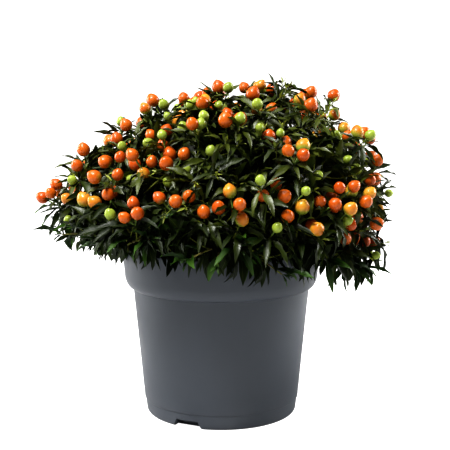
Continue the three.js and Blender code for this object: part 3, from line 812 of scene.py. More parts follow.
def spray_of(shoot, rng, settings):
    """The leaves of one shoot: along it, in a rosette near its tip, and young at the tip."""
    first, last = LEAF_PLACES
    count = max(FEWEST_LEAVES, int(shoot.curve.length * (last - first) / LEAF_SPACING))
    along = np.linspace(first, last, count)
    rosette = np.linspace(*ROSETTE_PLACES, ROSETTE_LEAVES)
    places = np.concatenate([along, rosette, np.ones(YOUNG_LEAVES)])
    counts = (count, ROSETTE_LEAVES, YOUNG_LEAVES)
    total = len(places)
    opening = np.repeat((LEAF_OPENING, ROSETTE_OPENING, YOUNG_OPENING), counts)
    opening = opening + rng.uniform(-0.5, 0.5, total) * LEAF_OPENING_SPREAD
    young = np.arange(total) >= count + ROSETTE_LEAVES
    shares = shoot.curve.even(places)
    roots = shoot.curve.points(shares)
    tangents = shoot.curve.tangents(shares)
    side = np.broadcast_to(shoot.curve.sideways(), tangents.shape)
    other = np.cross(side, tangents)
    turn = rng.uniform(0, 2 * np.pi) + GOLDEN_TURN * np.arange(total)
    spoke = side * np.cos(turn)[:, None] + other * np.sin(turn)[:, None]
    ways = tangents * np.cos(opening)[:, None] + spoke * np.sin(opening)[:, None]
    height = roots[:, 2] - underside_at(roots)
    low = np.clip(1 - height / SKIRT_DEPTH, 0, 1)
    ways[:, 2] -= np.where(young, 0, LEAF_HANG + (SKIRT_HANG - LEAF_HANG) * low)
    ways = unit(ways)
    skyward = np.broadcast_to(SKYWARD, ways.shape)
    upper = square_to(tangents, ways) * LEAF_FOLLOWS_SHOOT + square_to(skyward, ways)
    upper += np.cross(ways, upper) * rng.uniform(-LEAF_ROLL, LEAF_ROLL, (total, 1))
    sizes = leaf_sizes(rng, counts, height, low, young)
    kinds = leaf_kinds(shoot, rng, count, height, low, young)
    widths = settings.leaf_width * sizes * rng.uniform(*LEAF_WIDTHS, total)
    return {
        "root": roots,
        "way": ways,
        "face": square_to(upper + FACE_NUDGE, ways),
        "length": settings.leaf_length * sizes,
        "width": widths * (1 + SKIRT_BROADENING * low),
        "bend": rng.uniform(*LEAF_BEND, total) * np.where(young, YOUNG_BEND, 1),
        "twist": rng.uniform(-1, 1, total) * LEAF_TWIST,
        "phase": rng.uniform(0, 2 * np.pi, total),
        "kind": kinds,
        "outer": outline_share(roots),
        "low": low,
    }


def chosen(rows, keep):
    return {name: values[keep] for name, values in rows.items()}


def blade_points(rows, along, across):
    """Points on each leaf at shares along its length and across its half width."""
    u = np.asarray(along, float)[None, :, None]
    v = np.asarray(across, float)[None, :, None]
    length = rows["length"][:, None, None]
    bend = rows["bend"][:, None, None]
    way, face = rows["way"][:, None, :], rows["face"][:, None, :]
    angle = bend * u
    middle = rows["root"][:, None, :] + length / bend * (way * np.sin(angle) - face * (1 - np.cos(angle)))
    lean = face * np.cos(angle) + way * np.sin(angle)
    side = np.cross(face, way)
    turn = rows["twist"][:, None, None] * u
    side, lean = side * np.cos(turn) + lean * np.sin(turn), lean * np.cos(turn) - side * np.sin(turn)
    half = rows["width"][:, None, None] / 2 * blade_outline(u)
    phase = rows["phase"][:, None, None] + LEAF_WAVE_SHIFT * np.sign(v)
    ripple = np.sin(2 * np.pi * LEAF_WAVES * u + phase)
    lift = half * (LEAF_CUP * np.abs(v) + LEAF_WAVE * 2 * ripple * v * v)
    return middle + side * half * v + lean * lift


def blade_outline(u):
    """Half width of a lance-shaped blade on a short stalk, from 0 to 1."""
    share = np.clip((u - LEAF_STALK_SHARE) / (1 - LEAF_STALK_SHARE), 0, 1)
    blade = np.sin(np.pi * share**BLADE_BELLY) ** BLADE_ROUNDNESS * (1 - BLADE_POINTING * share)
    return np.maximum(blade / BLADE_PEAK, np.where(u < 1, LEAF_STALK_WIDTH, 0))


def midrib_points(rows, along):
    return blade_points(rows, along, np.zeros(len(along)))


def leaf_fits(rows):
    """Which leaves stay in the crown's outline, over its underside and off the pot."""
    samples = midrib_points(rows, LEAF_FIT_SAMPLES)
    inside = outline_share(samples).max(axis=1) < LEAF_PAST_OUTLINE
    low, high = np.array(CAD_BOX)
    inside &= ((samples > low - LEAF_PAST_SOLIDS) & (samples < high + LEAF_PAST_SOLIDS)).all(axis=(1, 2))
    high_enough = (samples[..., 2] > underside_at(samples) - LEAF_HANG_BELOW).all(axis=1)
    return inside & high_enough & clear_of_pot(samples, 0).all(axis=1)


@functools.cache
def grow_leaves(fine_count, berry_share):
    """The arrays of all the leaves that fit, and don't stand in front of a berry."""
    settings = bpy.context.scene.cherry_foliage
    rng = np.random.default_rng(LEAF_SEED)
    _, shoots = grow_crown(fine_count)
    sprays = [spray_of(shoot, rng, settings) for shoot in shoots]
    rows = {name: np.concatenate([spray[name] for spray in sprays]) for name in LEAF_FIELDS}
    fitted = np.zeros(len(rows["length"]))
    for shrink in LEAF_SHRINKS:
        tried = dict(rows, length=rows["length"] * shrink, width=rows["width"] * shrink)
        allowed = (rows["length"] > 0) & ((shrink == 1) | (rows["low"] < WHOLE_LEAVES_BELOW))
        fitted = np.where((fitted == 0) & allowed & leaf_fits(tried), shrink, fitted)
    rows["length"] = rows["length"] * fitted
    rows["width"] = rows["width"] * fitted
    rows = chosen(rows, fitted > 0)
    return chosen(rows, ~hides_berries(rows, grow_berries(fine_count, berry_share)))


def hides_berries(rows, berries):
    """Which leaves touch a berry, or stand straight in front of one."""
    samples = midrib_points(rows, HIDING_SAMPLES)
    hidden = np.zeros(len(samples), bool)
    for centre, radius in zip(berries["centre"], berries["radius"]):
        out = unit(centre - FORK)
        off = samples - centre
        depth = off @ out
        side = np.linalg.norm(off - depth[..., None] * out, axis=-1)
        touching = np.linalg.norm(off, axis=-1) < radius * HIDING_TOUCH
        in_front = (depth > 0) & (side < radius * HIDING_VIEW)
        hidden |= (touching | in_front).any(axis=1)
    return hidden


# Berries as rows of arrays


class BerryRows:
    """The berries set so far, and the rule for one more."""

    def __init__(self):
        self.rows = []

    def try_one(self, foot, axis, radius, kind, stalk):
        """Sets a berry unless it is too deep, too low, on the pot or in another berry."""
        centre = foot + axis * (stalk + radius)
        outer = outline_share((centre + unit(centre - FORK) * radius)[None])[0]
        if not BERRY_DEPTHS[0] < outer < BERRY_DEPTHS[1]:
            return
        too_low = centre[2] < underside_at(centre) + BERRY_ABOVE_UNDERSIDE
        if too_low or not clear_of_pot(centre, radius):
            return
        if any(np.linalg.norm(centre - row[0]) < radius + row[2] + BERRY_GAP for row in self.rows):
            return
        self.rows.append((centre, axis, radius, kind, foot))

    def as_arrays(self):
        names = ("centre", "axis", "radius", "kind", "foot")
        return {name: np.array([row[i] for row in self.rows]) for i, name in enumerate(names)}


@functools.cache
def grow_berries(fine_count, share):
    """Centres, axes, radii and kinds of the berries, and where their stalks start."""
    settings = bpy.context.scene.cherry_berries
    rng = np.random.default_rng(BERRY_SEED)
    _, shoots = grow_crown(fine_count)
    berries = BerryRows()
    for shoot in shoots:
        tip = shoot.curve.controls[2]
        height = tip[2] - underside_at(tip)
        fruits = rng.random() < share * np.interp(height, *np.transpose(BERRY_SHARES))
        if shoot.inner:
            continue
        out = unit(tip - FORK)
        if rng.random() < np.interp(height, *np.transpose(GREEN_SHARES)):
            way = shoot.curve.tangents([1])[0] + out * GREEN_OUTWARDS
            axis = unit(way + rng.uniform(-GREEN_LEAN, GREEN_LEAN, 3) + GREEN_LIFT)
            radius = settings.green_radius * rng.uniform(*GREEN_SIZES)
            berries.try_one(tip, axis, radius, GREEN, GREEN_STALK)
        if not fruits:
            continue
        node = shoot.curve.points([rng.uniform(*BERRY_NODES)])[0]
        first_turn = rng.uniform(0, 2 * np.pi)
        cluster = rng.choice((1, 2, 3), p=BERRY_CLUSTERS)
        for k in range(cluster):
            turn = first_turn + k * 2 * np.pi / cluster
            aside = np.array([math.cos(turn), math.sin(turn), ASIDE_RISE])
            aside = aside * (ALONE_ASIDE if cluster == 1 else CLUSTER_ASIDE)
            lean = rng.uniform(-BERRY_LEAN, BERRY_LEAN, 3)
            axis = unit(BERRY_OUTWARDS * out + BERRY_LIFT + aside + lean)
            kind = rng.choice((RIPE, ORANGE, TURNING), p=RIPENESS)
            stalk = BERRY_STALK * rng.uniform(*BERRY_STALKS)
            radius = settings.radius * rng.uniform(*BERRY_SIZES)
            berries.try_one(node, axis, radius, kind, stalk)
    return berries.as_arrays()


# Meshes


class Template:
    """A small mesh kept as arrays, to be copied many times."""

    def __init__(self, bm):
        bm.verts.index_update()
        self.points = np.array([vert.co[:] for vert in bm.verts])
        self.corners = np.array([vert.index for face in bm.faces for vert in face.verts])
        self.sizes = np.array([len(face.verts) for face in bm.faces])
        bm.free()


def joined_copies(name, template, points, uvs=None):
    """One mesh of many copies of a template, whose points (copies, points, 3) are given."""
    copies, count = points.shape[:2]
    corners = (template.corners + count * np.arange(copies)[:, None]).ravel()
    sizes = np.tile(template.sizes, copies)
    mesh = bpy.data.meshes.new(name)
    mesh.vertices.add(copies * count)
    mesh.vertices.foreach_set("co", points.astype(np.float32).ravel())
    mesh.loops.add(len(corners))
    mesh.loops.foreach_set("vertex_index", corners.astype(np.int32))
    mesh.polygons.add(len(sizes))
    starts = np.concatenate([[0], np.cumsum(sizes)[:-1]])
    mesh.polygons.foreach_set("loop_start", starts.astype(np.int32))
    mesh.update(calc_edges=True)
    mesh.polygons.foreach_set("use_smooth", np.ones(len(sizes), bool))
    if uvs is not None:
        mapped = np.tile(uvs[template.corners], (copies, 1))
        mesh.uv_layers.new(name="UVMap").data.foreach_set("uv", mapped.astype(np.float32).ravel())
    mesh.validate()
    return mesh


def mesh_from(name, bm):
    """A smooth shaded mesh, made of a bmesh that is used up."""
    mesh = bpy.data.meshes.new(name)
    bm.to_mesh(mesh)
    bm.free()
    for polygon in mesh.polygons:
        polygon.use_smooth = True
    return mesh


def in_scene(name, data):
    """A new object in the scene that shows a mesh, a light or a camera."""
    item = bpy.data.objects.new(name, data)
    bpy.context.scene.collection.objects.link(item)
    return item


def finish_piece(name, mesh, material, replaced=()):
    """Puts a mesh in the scene as a piece that rides on the plant's one body."""
    piece = in_scene(name, mesh)
    mesh.materials.clear()
    mesh.materials.append(material)
    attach(piece, BODY)
    if replaced:
        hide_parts(*replaced)


def tube_template(sides, steps):
    """A closed round tube of radius 1 along X from 0 to 1, with its steps as rings."""
    bm = bmesh.new()
    bmesh.ops.create_circle(bm, segments=sides, radius=1, cap_ends=True)
    bmesh.ops.reverse_faces(bm, faces=bm.faces)
    ring = [edge for edge in bm.edges]
    for _ in range(steps):
        grown = bmesh.ops.extrude_edge_only(bm, edges=ring)["geom"]
        verts = [item for item in grown if isinstance(item, bmesh.types.BMVert)]
        ring = [item for item in grown if isinstance(item, bmesh.types.BMEdge)]
        bmesh.ops.translate(bm, verts=verts, vec=(0, 0, 1 / steps))
    bmesh.ops.contextual_create(bm, geom=ring)
    bmesh.ops.recalc_face_normals(bm, faces=bm.faces)
    turn = Matrix(((0, 0, 1), (1, 0, 0), (0, 1, 0)))
    bmesh.ops.transform(bm, matrix=turn.to_4x4(), verts=bm.verts)
    return Template(bm)


def tube_points(template, curve, radius_at):
    """The template's points laid round a curve."""
    share = template.points[:, 0]
    centre = curve.points(share)
    tangent = curve.tangents(share)
    side = np.broadcast_to(curve.sideways(), tangent.shape)
    other = np.cross(tangent, side)
    radius = radius_at(share)[:, None]
    return centre + radius * (side * template.points[:, 1:2] + other * template.points[:, 2:3])


def taper(low, high):
    """A radius that goes evenly from one size to another along a limb."""
    return lambda share: low + (high - low) * share


# Node trees


def new_group(name, inputs, outputs):
    """An empty shader node group, what its input node gives and what its output node takes."""
    tree = bpy.data.node_groups.new(name, "ShaderNodeTree")
    for label, kind, default in inputs:
        socket = tree.interface.new_socket(name=label, in_out="INPUT", socket_type=f"NodeSocket{kind}")
        if default is not None:
            socket.default_value = default
    for label, kind in outputs:
        tree.interface.new_socket(name=label, in_out="OUTPUT", socket_type=f"NodeSocket{kind}")
    return tree, tree.nodes.new("NodeGroupInput").outputs, tree.nodes.new("NodeGroupOutput").inputs


def add(tree, kind, inputs=(), **settings):
    """The outputs of a new node. An input is a value or another node's output socket."""
    node = tree.nodes.new(f"ShaderNode{kind}")
    for name, value in settings.items():
        setattr(node, name, value)
    for name, value in dict(inputs).items():
        if isinstance(value, bpy.types.NodeSocket):
            tree.links.new(value, node.inputs[name])
        else:
            node.inputs[name].default_value = value
    return node.outputs


def math_node(tree, operation, a, b=0.0):
    return add(tree, "Math", {0: a, 1: b}, operation=operation)[0]


def mixed(tree, factor, a, b):
    return add(tree, "Mix", {0: factor, 6: a, 7: b}, data_type="RGBA")[2]


def ramp(tree, value, start=(0.0, 1.0), end=(0.0, 1.0), **settings):
    """A value carried from one range to another."""
    limits = dict(zip(("From Min", "From Max", "To Min", "To Max"), (*start, *end)))
    return add(tree, "MapRange", {"Value": value, **limits}, **settings)["Result"]


def blotches(tree, where, scale, detail):
    return add(tree, "TexNoise", {"Vector": where, "Scale": scale, "Detail": detail})["Fac"]


def rgba(colour, lightness=1.0):
    return (*(min(1.0, channel * lightness) for channel in colour), 1.0)


@functools.cache
def mottle_group():
    """Soft blotches between two colours, and their mask."""
    sockets = (
        ("Vector", "Vector", None),
        ("Scale", "Float", 40.0),
        ("Low", "Color", BLACK),
        ("High", "Color", WHITE),
    )
    tree, given, result = new_group("Mottle", sockets, (("Color", "Color"), ("Mask", "Float")))
    mask = ramp(tree, blotches(tree, given["Vector"], given["Scale"], 4.0), MOTTLE_EDGES)
    tree.links.new(mixed(tree, mask, given["Low"], given["High"]), result["Color"])
    tree.links.new(mask, result["Mask"])
    return tree


@functools.cache
def grain_group():
    """Fine grain as a height, with a broad swell under it."""
    sockets = (("Vector", "Vector", None), ("Scale", "Float", 900.0), ("Swell", "Float", 0.3))
    tree, given, result = new_group("Grain", sockets, (("Height", "Float"),))
    fine = blotches(tree, given["Vector"], given["Scale"], 3.0)
    broad_scale = math_node(tree, "MULTIPLY", given["Scale"], SWELL_SCALE)
    broad = blotches(tree, given["Vector"], broad_scale, 1.0)
    swell = math_node(tree, "MULTIPLY", broad, given["Swell"])
    tree.links.new(math_node(tree, "ADD", fine, swell), result["Height"])
    return tree


@functools.cache
def veins_group():
    """The side veins of a leaf as a height, from its own map."""
    sockets = (("Vector", "Vector", None), ("Count", "Float", 9.0))
    tree, given, result = new_group("Leaf veins", sockets, (("Height", "Float"),))
    place = add(tree, "SeparateXYZ", {0: given["Vector"]})
    off = math_node(tree, "ABSOLUTE", math_node(tree, "SUBTRACT", place["Y"], 0.5))
    slant = math_node(tree, "SUBTRACT", place["X"], math_node(tree, "MULTIPLY", off, SIDE_VEIN_SLANT))
    turn = math_node(tree, "MULTIPLY", math_node(tree, "MULTIPLY", slant, given["Count"]), 2 * math.pi)
    wave = math_node(tree, "ABSOLUTE", math_node(tree, "SINE", turn))
    tree.links.new(math_node(tree, "POWER", wave, SIDE_VEIN_SHARPNESS), result["Height"])
    return tree


class Finish:
    """A material in the making: its shader's sockets, and the places its patterns follow."""

    def __init__(self, name, **constants):
        self.material = bpy.data.materials.new(name)
        self.material.use_nodes = True
        self.tree = self.material.node_tree
        self.sockets = next(node for node in self.tree.nodes if node.type == "BSDF_PRINCIPLED").inputs
        for socket, value in constants.items():
            self.sockets[socket.replace("_", " ")].default_value = value
        places = add(self.tree, "TexCoord")
        self.where = places["Object"]
        self.along = places["UV"]

    def feed(self, socket, value):
        self.tree.links.new(value, self.sockets[socket])

    def use(self, group, **inputs):
        return add(self.tree, "Group", inputs, node_tree=group)

    def mottle(self, scale, low, high):
        """The colour of blotches between two colours, and their mask."""
        outputs = self.use(mottle_group(), Vector=self.where, Scale=scale, Low=low, High=high)
        return outputs["Color"], outputs["Mask"]

    def roughness(self, mask, smooth, dull):
        self.feed("Roughness", ramp(self.tree, mask, end=(smooth, dull)))

    def bump(self, height, depth, strength):
        inputs = {"Height": height, "Distance": depth, "Strength": strength}
        self.feed("Normal", add(self.tree, "Bump", inputs)["Normal"])

    def grain(self, scale, swell, depth, strength):
        outputs = self.use(grain_group(), Vector=self.where, Scale=scale, Swell=swell)
        self.bump(outputs["Height"], depth, strength)


# Materials


def plastic_material():
    """Moulded plastic, a little scuffed, with dust round its foot."""
    settings = bpy.context.scene.cherry_pot
    finish = Finish("Grey moulded plastic", Specular_IOR_Level=0.4)
    tree = finish.tree
    scuffed, mask = finish.mottle(scale=26.0, low=rgba(settings.colour), high=rgba(settings.worn))
    height = add(tree, "SeparateXYZ", {0: finish.where})["Z"]
    dust = math_node(tree, "MULTIPLY", ramp(tree, height, (0.0, DUST_TOP), (DUST_MOST, 0.0)), mask)
    faint = mixed(tree, SCUFFS, rgba(settings.colour), scuffed)
    finish.feed("Base Color", mixed(tree, dust, faint, rgba(settings.worn, DUST_LIGHTNESS)))
    finish.roughness(mask, smooth=0.4, dull=0.5)
    finish.grain(1 / settings.grain, swell=0.5, depth=0.05 * MM, strength=0.5)
    return finish.material


def soil_material():
    settings = bpy.context.scene.cherry_soil
    finish = Finish("Potting mix", Specular_IOR_Level=0.2)
    colour, mask = finish.mottle(scale=220.0, low=rgba(settings.dark), high=rgba(settings.light))
    finish.feed("Base Color", colour)
    finish.roughness(mask, smooth=0.75, dull=1.0)
    finish.grain(scale=700.0, swell=1.0, depth=0.6 * MM, strength=0.8)
    return finish.material


def bark_material(name, low, high, scale, depth):
    """Bark whose pattern is stretched along the limbs."""
    finish = Finish(name, Specular_IOR_Level=0.3)
    finish.where = add(finish.tree, "Mapping", {"Vector": finish.where, "Scale": BARK_STRETCH})["Vector"]
    colour, mask = finish.mottle(scale, low=rgba(low), high=rgba(high))
    finish.feed("Base Color", colour)
    finish.roughness(mask, smooth=0.6, dull=0.85)
    finish.grain(scale * 3, swell=0.8, depth=depth, strength=0.7)
    return finish.material


def leaf_material(name, colour, roughness, spread=0.35, tip=None, gloss=0.4):
    """A waxy leaf, paler below, with painted light of another colour on its tip where one is given."""
    finish = Finish(name, Specular_IOR_Level=gloss, Coat_Weight=gloss / 10, Coat_Roughness=0.3)
    tree = finish.tree
    dark, light = rgba(colour, 1 - spread), rgba(colour, 1 + spread)
    upper, mask = finish.mottle(scale=45.0, low=dark, high=light)
    # The tip's lighter green is painted light, standing in for light through and round the hanging leaves'
    # tips
    if tip is not None:
        share = ramp(tree, add(tree, "SeparateXYZ", {0: finish.along})["X"], (PAINTED_TIP_LIGHT_FROM, 1.0))
        upper = mixed(tree, share, upper, rgba(tip))
    below = add(tree, "NewGeometry")["Backfacing"]
    finish.feed("Base Color", mixed(tree, below, upper, rgba(colour, LEAF_PALE_BELOW)))
    finish.roughness(mask, smooth=roughness - 0.05, dull=roughness + 0.09)
    veins = finish.use(veins_group(), Vector=finish.along, Count=4.5)
    finish.bump(veins["Height"], depth=0.12 * MM, strength=0.6)
    return finish.material


def berry_material(name, colour, deeper, unripe, unripe_range):
    """A smooth waxy berry, still unripe where its ripeness is low in a range."""
    finish = Finish(name, Specular_IOR_Level=0.3, Coat_Weight=0.12, Coat_Roughness=0.15)
    skin, mask = finish.mottle(scale=70.0, low=deeper, high=colour)
    ripeness = add(finish.tree, "Attribute", attribute_name="ripeness")["Fac"]
    share = ramp(finish.tree, ripeness, unripe_range, interpolation_type="SMOOTHSTEP")
    finish.feed("Base Color", mixed(finish.tree, share, unripe, skin))
    finish.roughness(mask, smooth=0.28, dull=0.38)
    finish.grain(scale=600.0, swell=0.4, depth=0.04 * MM, strength=0.35)
    return finish.material


# Pot


def arc(centre_r, centre_z, radius, start, end, steps):
    """Points of an arc in a half section, as radius and height."""
    angles = np.radians(np.linspace(start, end, steps + 1))
    return [(centre_r + radius * math.cos(a), centre_z + radius * math.sin(a)) for a in angles]


def pot_outside():
    """The half section's outside, from the sole up to the rim."""
    overhang = COLLAR_RADIUS - SHOULDER_RADIUS
    rounding = []
    for a in np.radians(np.linspace(*COLLAR_ARC)):
        rise = COLLAR_ROUNDING * (1 - math.cos(a))
        rounding.append((SHOULDER_RADIUS + overhang * math.sin(a), COLLAR_BOTTOM + rise))
    return [
        (FOOT_RADIUS - SOLE_MARGIN, 0),
        *arc(FOOT_RADIUS - FOOT_ROUNDING, FOOT_ROUNDING, FOOT_ROUNDING, -90, 0, 8),
        (FOOT_TOP_RADIUS - FOOT_STEP, FOOT_TOP),
        (FOOT_TOP_RADIUS - FOOT_STEP / 3, FOOT_TOP + FOOT_STEP_HEIGHT / 3),
        (FOOT_TOP_RADIUS, FOOT_TOP + FOOT_STEP_HEIGHT),
        (SHOULDER_RADIUS, COLLAR_BOTTOM),
        *rounding,
        *arc(RIM_RADIUS - RIM_ROUNDING, POT_HEIGHT - RIM_ROUNDING, RIM_ROUNDING, 0, 90, 5),
    ]


def pot_inside():
    """The half section's inside, from above the rim down to the floor."""
    top = RIM_RADIUS - POT_WALL
    corner = FOOT_RADIUS - POT_WALL - FOOT_ROUNDING
    return [
        (top + RIM_ROUNDING / 2, POT_HEIGHT + POT_WALL),
        (top + RIM_ROUNDING / 2, POT_HEIGHT),
        (top, POT_HEIGHT - RIM_ROUNDING / 2),
        (COLLAR_RADIUS - POT_WALL, COLLAR_BOTTOM + COLLAR_ROUNDING),
        (SHOULDER_RADIUS - POT_WALL, COLLAR_BOTTOM),
        *arc(corner, POT_FLOOR + FOOT_ROUNDING, FOOT_ROUNDING, 0, -90, 4),
    ]


def spun(profile, sides):
    """A closed shell turned from a half section that starts and ends on the axis."""
    bm = bmesh.new()
    verts = [bm.verts.new((r, 0, z)) for r, z in profile]
    edges = [bm.edges.new(pair) for pair in zip(verts, verts[1:])]
    bmesh.ops.spin(
        bm,
        geom=verts + edges,
        cent=(0, 0, 0),
        axis=(0, 0, 1),
        angle=2 * math.pi,
        steps=sides,
        use_merge=True,
    )
    bmesh.ops.remove_doubles(bm, verts=bm.verts, dist=MERGE_DISTANCE)
    bmesh.ops.recalc_face_normals(bm, faces=bm.faces)
    return bm


def turned_mesh(name, bm, azimuth):
    """A mesh turned round the pot's axis."""
    turn = Matrix.Rotation(math.radians(azimuth), 3, "Z")
    bmesh.ops.rotate(bm, cent=(0, 0, 0), matrix=turn, verts=bm.verts)
    return mesh_from(name, bm)


def drain_block(azimuth, wall):
    """A drain recess as a solid, larger than the real one by a wall."""
    low = DRAIN_WIDTH_LOW / 2 + wall
    high = DRAIN_WIDTH_HIGH / 2 + wall
    top = DRAIN_HEIGHT + wall
    below = -DRAIN_CUT_PAST
    back = FOOT_TOP_RADIUS - DRAIN_DEPTH - wall
    front = FOOT_TOP_RADIUS + DRAIN_CUT_PAST
    bm = bmesh.new()
    outline = ((-low, below), (low, below), (low, 0), (high, top), (-high, top), (-low, 0))
    face = bm.faces.new([bm.verts.new((x, -front, z)) for x, z in outline])
    grown = bmesh.ops.extrude_face_region(bm, geom=[face])["geom"]
    verts = [item for item in grown if isinstance(item, bmesh.types.BMVert)]
    bmesh.ops.translate(bm, verts=verts, vec=(0, front - back, 0))
    bmesh.ops.recalc_face_normals(bm, faces=bm.faces)
    return turned_mesh("drain", bm, azimuth)


def drain_slot(azimuth):
    """The slot that lets water out through a recess's back wall, as a solid."""
    back = FOOT_TOP_RADIUS - DRAIN_DEPTH - POT_WALL / 2
    bm = bmesh.new()
    bmesh.ops.create_cube(bm, size=1)
    bmesh.ops.scale(bm, verts=bm.verts, vec=(SLOT_WIDTH, 3 * POT_WALL, SLOT_HEIGHT))
    bmesh.ops.translate(bm, verts=bm.verts, vec=(0, -back, SLOT_BOTTOM + SLOT_HEIGHT / 2))
    return turned_mesh("slot", bm, azimuth)


def cut(mesh, tools):
    """The mesh after an exact Boolean cut by each of the tools."""
    target = in_scene("cut", mesh)
    helpers = [in_scene("tool", tool) for tool in tools]
    for helper in helpers:
        modifier = target.modifiers.new("cut", "BOOLEAN")
        modifier.operation = "DIFFERENCE"
        modifier.solver = "EXACT"
        modifier.object = helper
    bpy.context.view_layer.update()
    evaluated = target.evaluated_get(bpy.context.evaluated_depsgraph_get())
    result = bpy.data.meshes.new_from_object(evaluated)
    for item in (target, *helpers):
        bpy.data.objects.remove(item)
    return result


def pot_mesh():
    azimuths = [DRAIN_FIRST_AZIMUTH + 360 / DRAINS * i for i in range(DRAINS)]
    hollow = spun([(0, POT_HEIGHT + POT_WALL), *pot_inside(), (0, POT_FLOOR)], POT_SIDES)
    hollow = cut(mesh_from("hollow", hollow), [drain_block(a, POT_WALL) for a in azimuths])
    body = mesh_from("body", spun([(0, 0), *pot_outside(), (0, POT_HEIGHT)], POT_SIDES))
    mesh = cut(body, [hollow] + [drain_block(a, 0) for a in azimuths] + [drain_slot(a) for a in azimuths])
    mesh.set_sharp_from_angle(angle=math.radians(POT_SHARP_FROM))
    return mesh


class CHERRY_OT_pot(bpy.types.Operator):
    """Build the smooth plastic pot with its rolled collar and drain recesses"""

    bl_idname = "cherry.pot"
    bl_label = "Pot"

    def execute(self, context):
        mesh = pot_mesh()
        if len(mesh.polygons) < POT_SIDES:
            raise RuntimeError("the pot's cuts left no pot")
        finish_piece("pot_shell", mesh, plastic_material(), ["pot"])
        return {"FINISHED"}


# Soil


def soil_height(x, y):
    """The mix's lumpy surface, mounded round the stem."""
    away = math.hypot(x, y) - SOIL_MOUND_RADIUS
    fall = SOIL_EDGE_FALL * max(0.0, away / (SOIL_RADIUS - SOIL_MOUND_RADIUS))
    lumps = sum(share * noise.noise(Vector((x, y, level)) * scale) for share, level, scale in SOIL_LUMPS)
    return SOIL_TOP - fall - SOIL_SINK + SOIL_ROUGHNESS * lumps


def soil_mesh():
    wall = (SHOULDER_RADIUS - POT_WALL - 2 * CUT_GAP, COLLAR_BOTTOM)
    surface = [(SOIL_RADIUS * (1 - i / SOIL_RINGS), SOIL_TOP) for i in range(SOIL_RINGS + 1)]
    bm = spun([(0, COLLAR_BOTTOM), wall, *surface], SOIL_SIDES)
    for vert in bm.verts:
        if vert.co.z > (SOIL_TOP + COLLAR_BOTTOM) / 2:
            vert.co.z = soil_height(vert.co.x, vert.co.y)
    bmesh.ops.recalc_face_normals(bm, faces=bm.faces)
    return mesh_from("soil", bm)


def crumbs_mesh(count):
    """Loose crumbs strewn evenly over the mix, each of its own size and shape."""
    bm = bmesh.new()
    bmesh.ops.create_icosphere(bm, subdivisions=1, radius=1)
    template = Template(bm)
    rng = np.random.default_rng(SOIL_SEED)
    reach = SOIL_RADIUS + CUT_GAP - 3 * CRUMB_RADIUS
    away = reach * np.sqrt(rng.uniform(CRUMBS_FROM, 1, count))
    turn = rng.uniform(0, 2 * np.pi, count)
    x, y = away * np.cos(turn), away * np.sin(turn)
    z = np.array([soil_height(*place) for place in zip(x, y)])
    size = CRUMB_RADIUS * rng.uniform(*CRUMB_SIZES, count)
    shape = 1 + CRUMB_ROUGHNESS * rng.uniform(-1, 1, (count, len(template.points), 1))
    shape = template.points[None] * shape * np.array([1, 1, CRUMB_FLATNESS])
    middle = np.stack([x, y, z + size * CRUMB_LIFT], axis=1)
    return joined_copies("crumbs", template, middle[:, None] + shape * size[:, None, None])


class CHERRY_OT_soil(bpy.types.Operator):
    """Fill the pot with rough potting mix and loose crumbs"""

    bl_idname = "cherry.soil"
    bl_label = "Soil"

    def execute(self, context):
        material = soil_material()
        finish_piece("soil_surface", soil_mesh(), material, ["soil"])
        crumbs = crumbs_mesh(context.scene.cherry_soil.crumbs)
        finish_piece("soil_crumbs", crumbs, material)
        return {"FINISHED"}


# Wood


def limb_with_bark(curve, radius_at, sides, steps, relief):
    """A limb with ridges that run along it and knots round it, plain at its ends."""
    template = tube_template(sides, steps)
    share = template.points[:, 0]
    points = tube_points(template, curve, radius_at)
    out = points - curve.points(share)
    for i in np.flatnonzero((share > LIMB_END) & (share < 1 - LIMB_END)):
        where = Vector((*(template.points[i, 1:] * RIDGES_ROUND), points[i, 2] * RIDGES_ALONG))
        ridge = 1 - 2 * abs(noise.noise(where))
        knot = noise.noise(Vector(points[i] * KNOT_SCALE))
        depth = relief * (RIDGE_SHARE * ridge + KNOT_SHARE * knot - BARK_SET_BACK)
        points[i] += out[i] / np.linalg.norm(out[i]) * depth
    return joined_copies("limb", template, points[None])


def joined_limbs(name, curves, radii, relief):
    """Limbs of one kind, tapered alike, as one mesh."""
    bm = bmesh.new()
    for curve in curves:
        bm.from_mesh(limb_with_bark(curve, taper(*radii), BOUGH_SIDES, BOUGH_STEPS, relief))
    return mesh_from(name, bm)


def stem_radius(share):
    """The main stem tapers, and flares where it enters the mix."""
    plain = taper(STEM_RADIUS_LOW, STEM_RADIUS_HIGH)
    return plain(share) + STEM_FLARE * np.exp(-share * STEM_FLARE_FALL)


class CHERRY_OT_wood(bpy.types.Operator):
    """Build the main stem, the boughs and the stems of the masses, with their bark"""

    bl_idname = "cherry.wood"
    bl_label = "Stem and boughs"

    def execute(self, context):
        settings = context.scene.cherry_wood
        relief = settings.relief
        bark = bark_material("Bark", settings.bark, settings.ridge, scale=170.0, depth=0.5 * MM)
        stem = limb_with_bark(STEM_CURVE, stem_radius, STEM_SIDES, STEM_STEPS, relief)
        finish_piece("main_stem_bark", stem, bark, ["main_stem"])
        masses, _ = grow_crown(context.scene.cherry_foliage.fine_shoots)
        boughs = joined_limbs("boughs", [mass.bough for mass in masses], BOUGH_RADII, relief / 2)
        finish_piece("boughs_bark", boughs, bark, [f"bough_{mass.label}" for mass in masses])
        stems = joined_limbs("mass_stems", [mass.stem for mass in masses], MASS_STEM_RADII, relief / 3)
        finish_piece("mass_stems_bark", stems, bark)
        return {"FINISHED"}


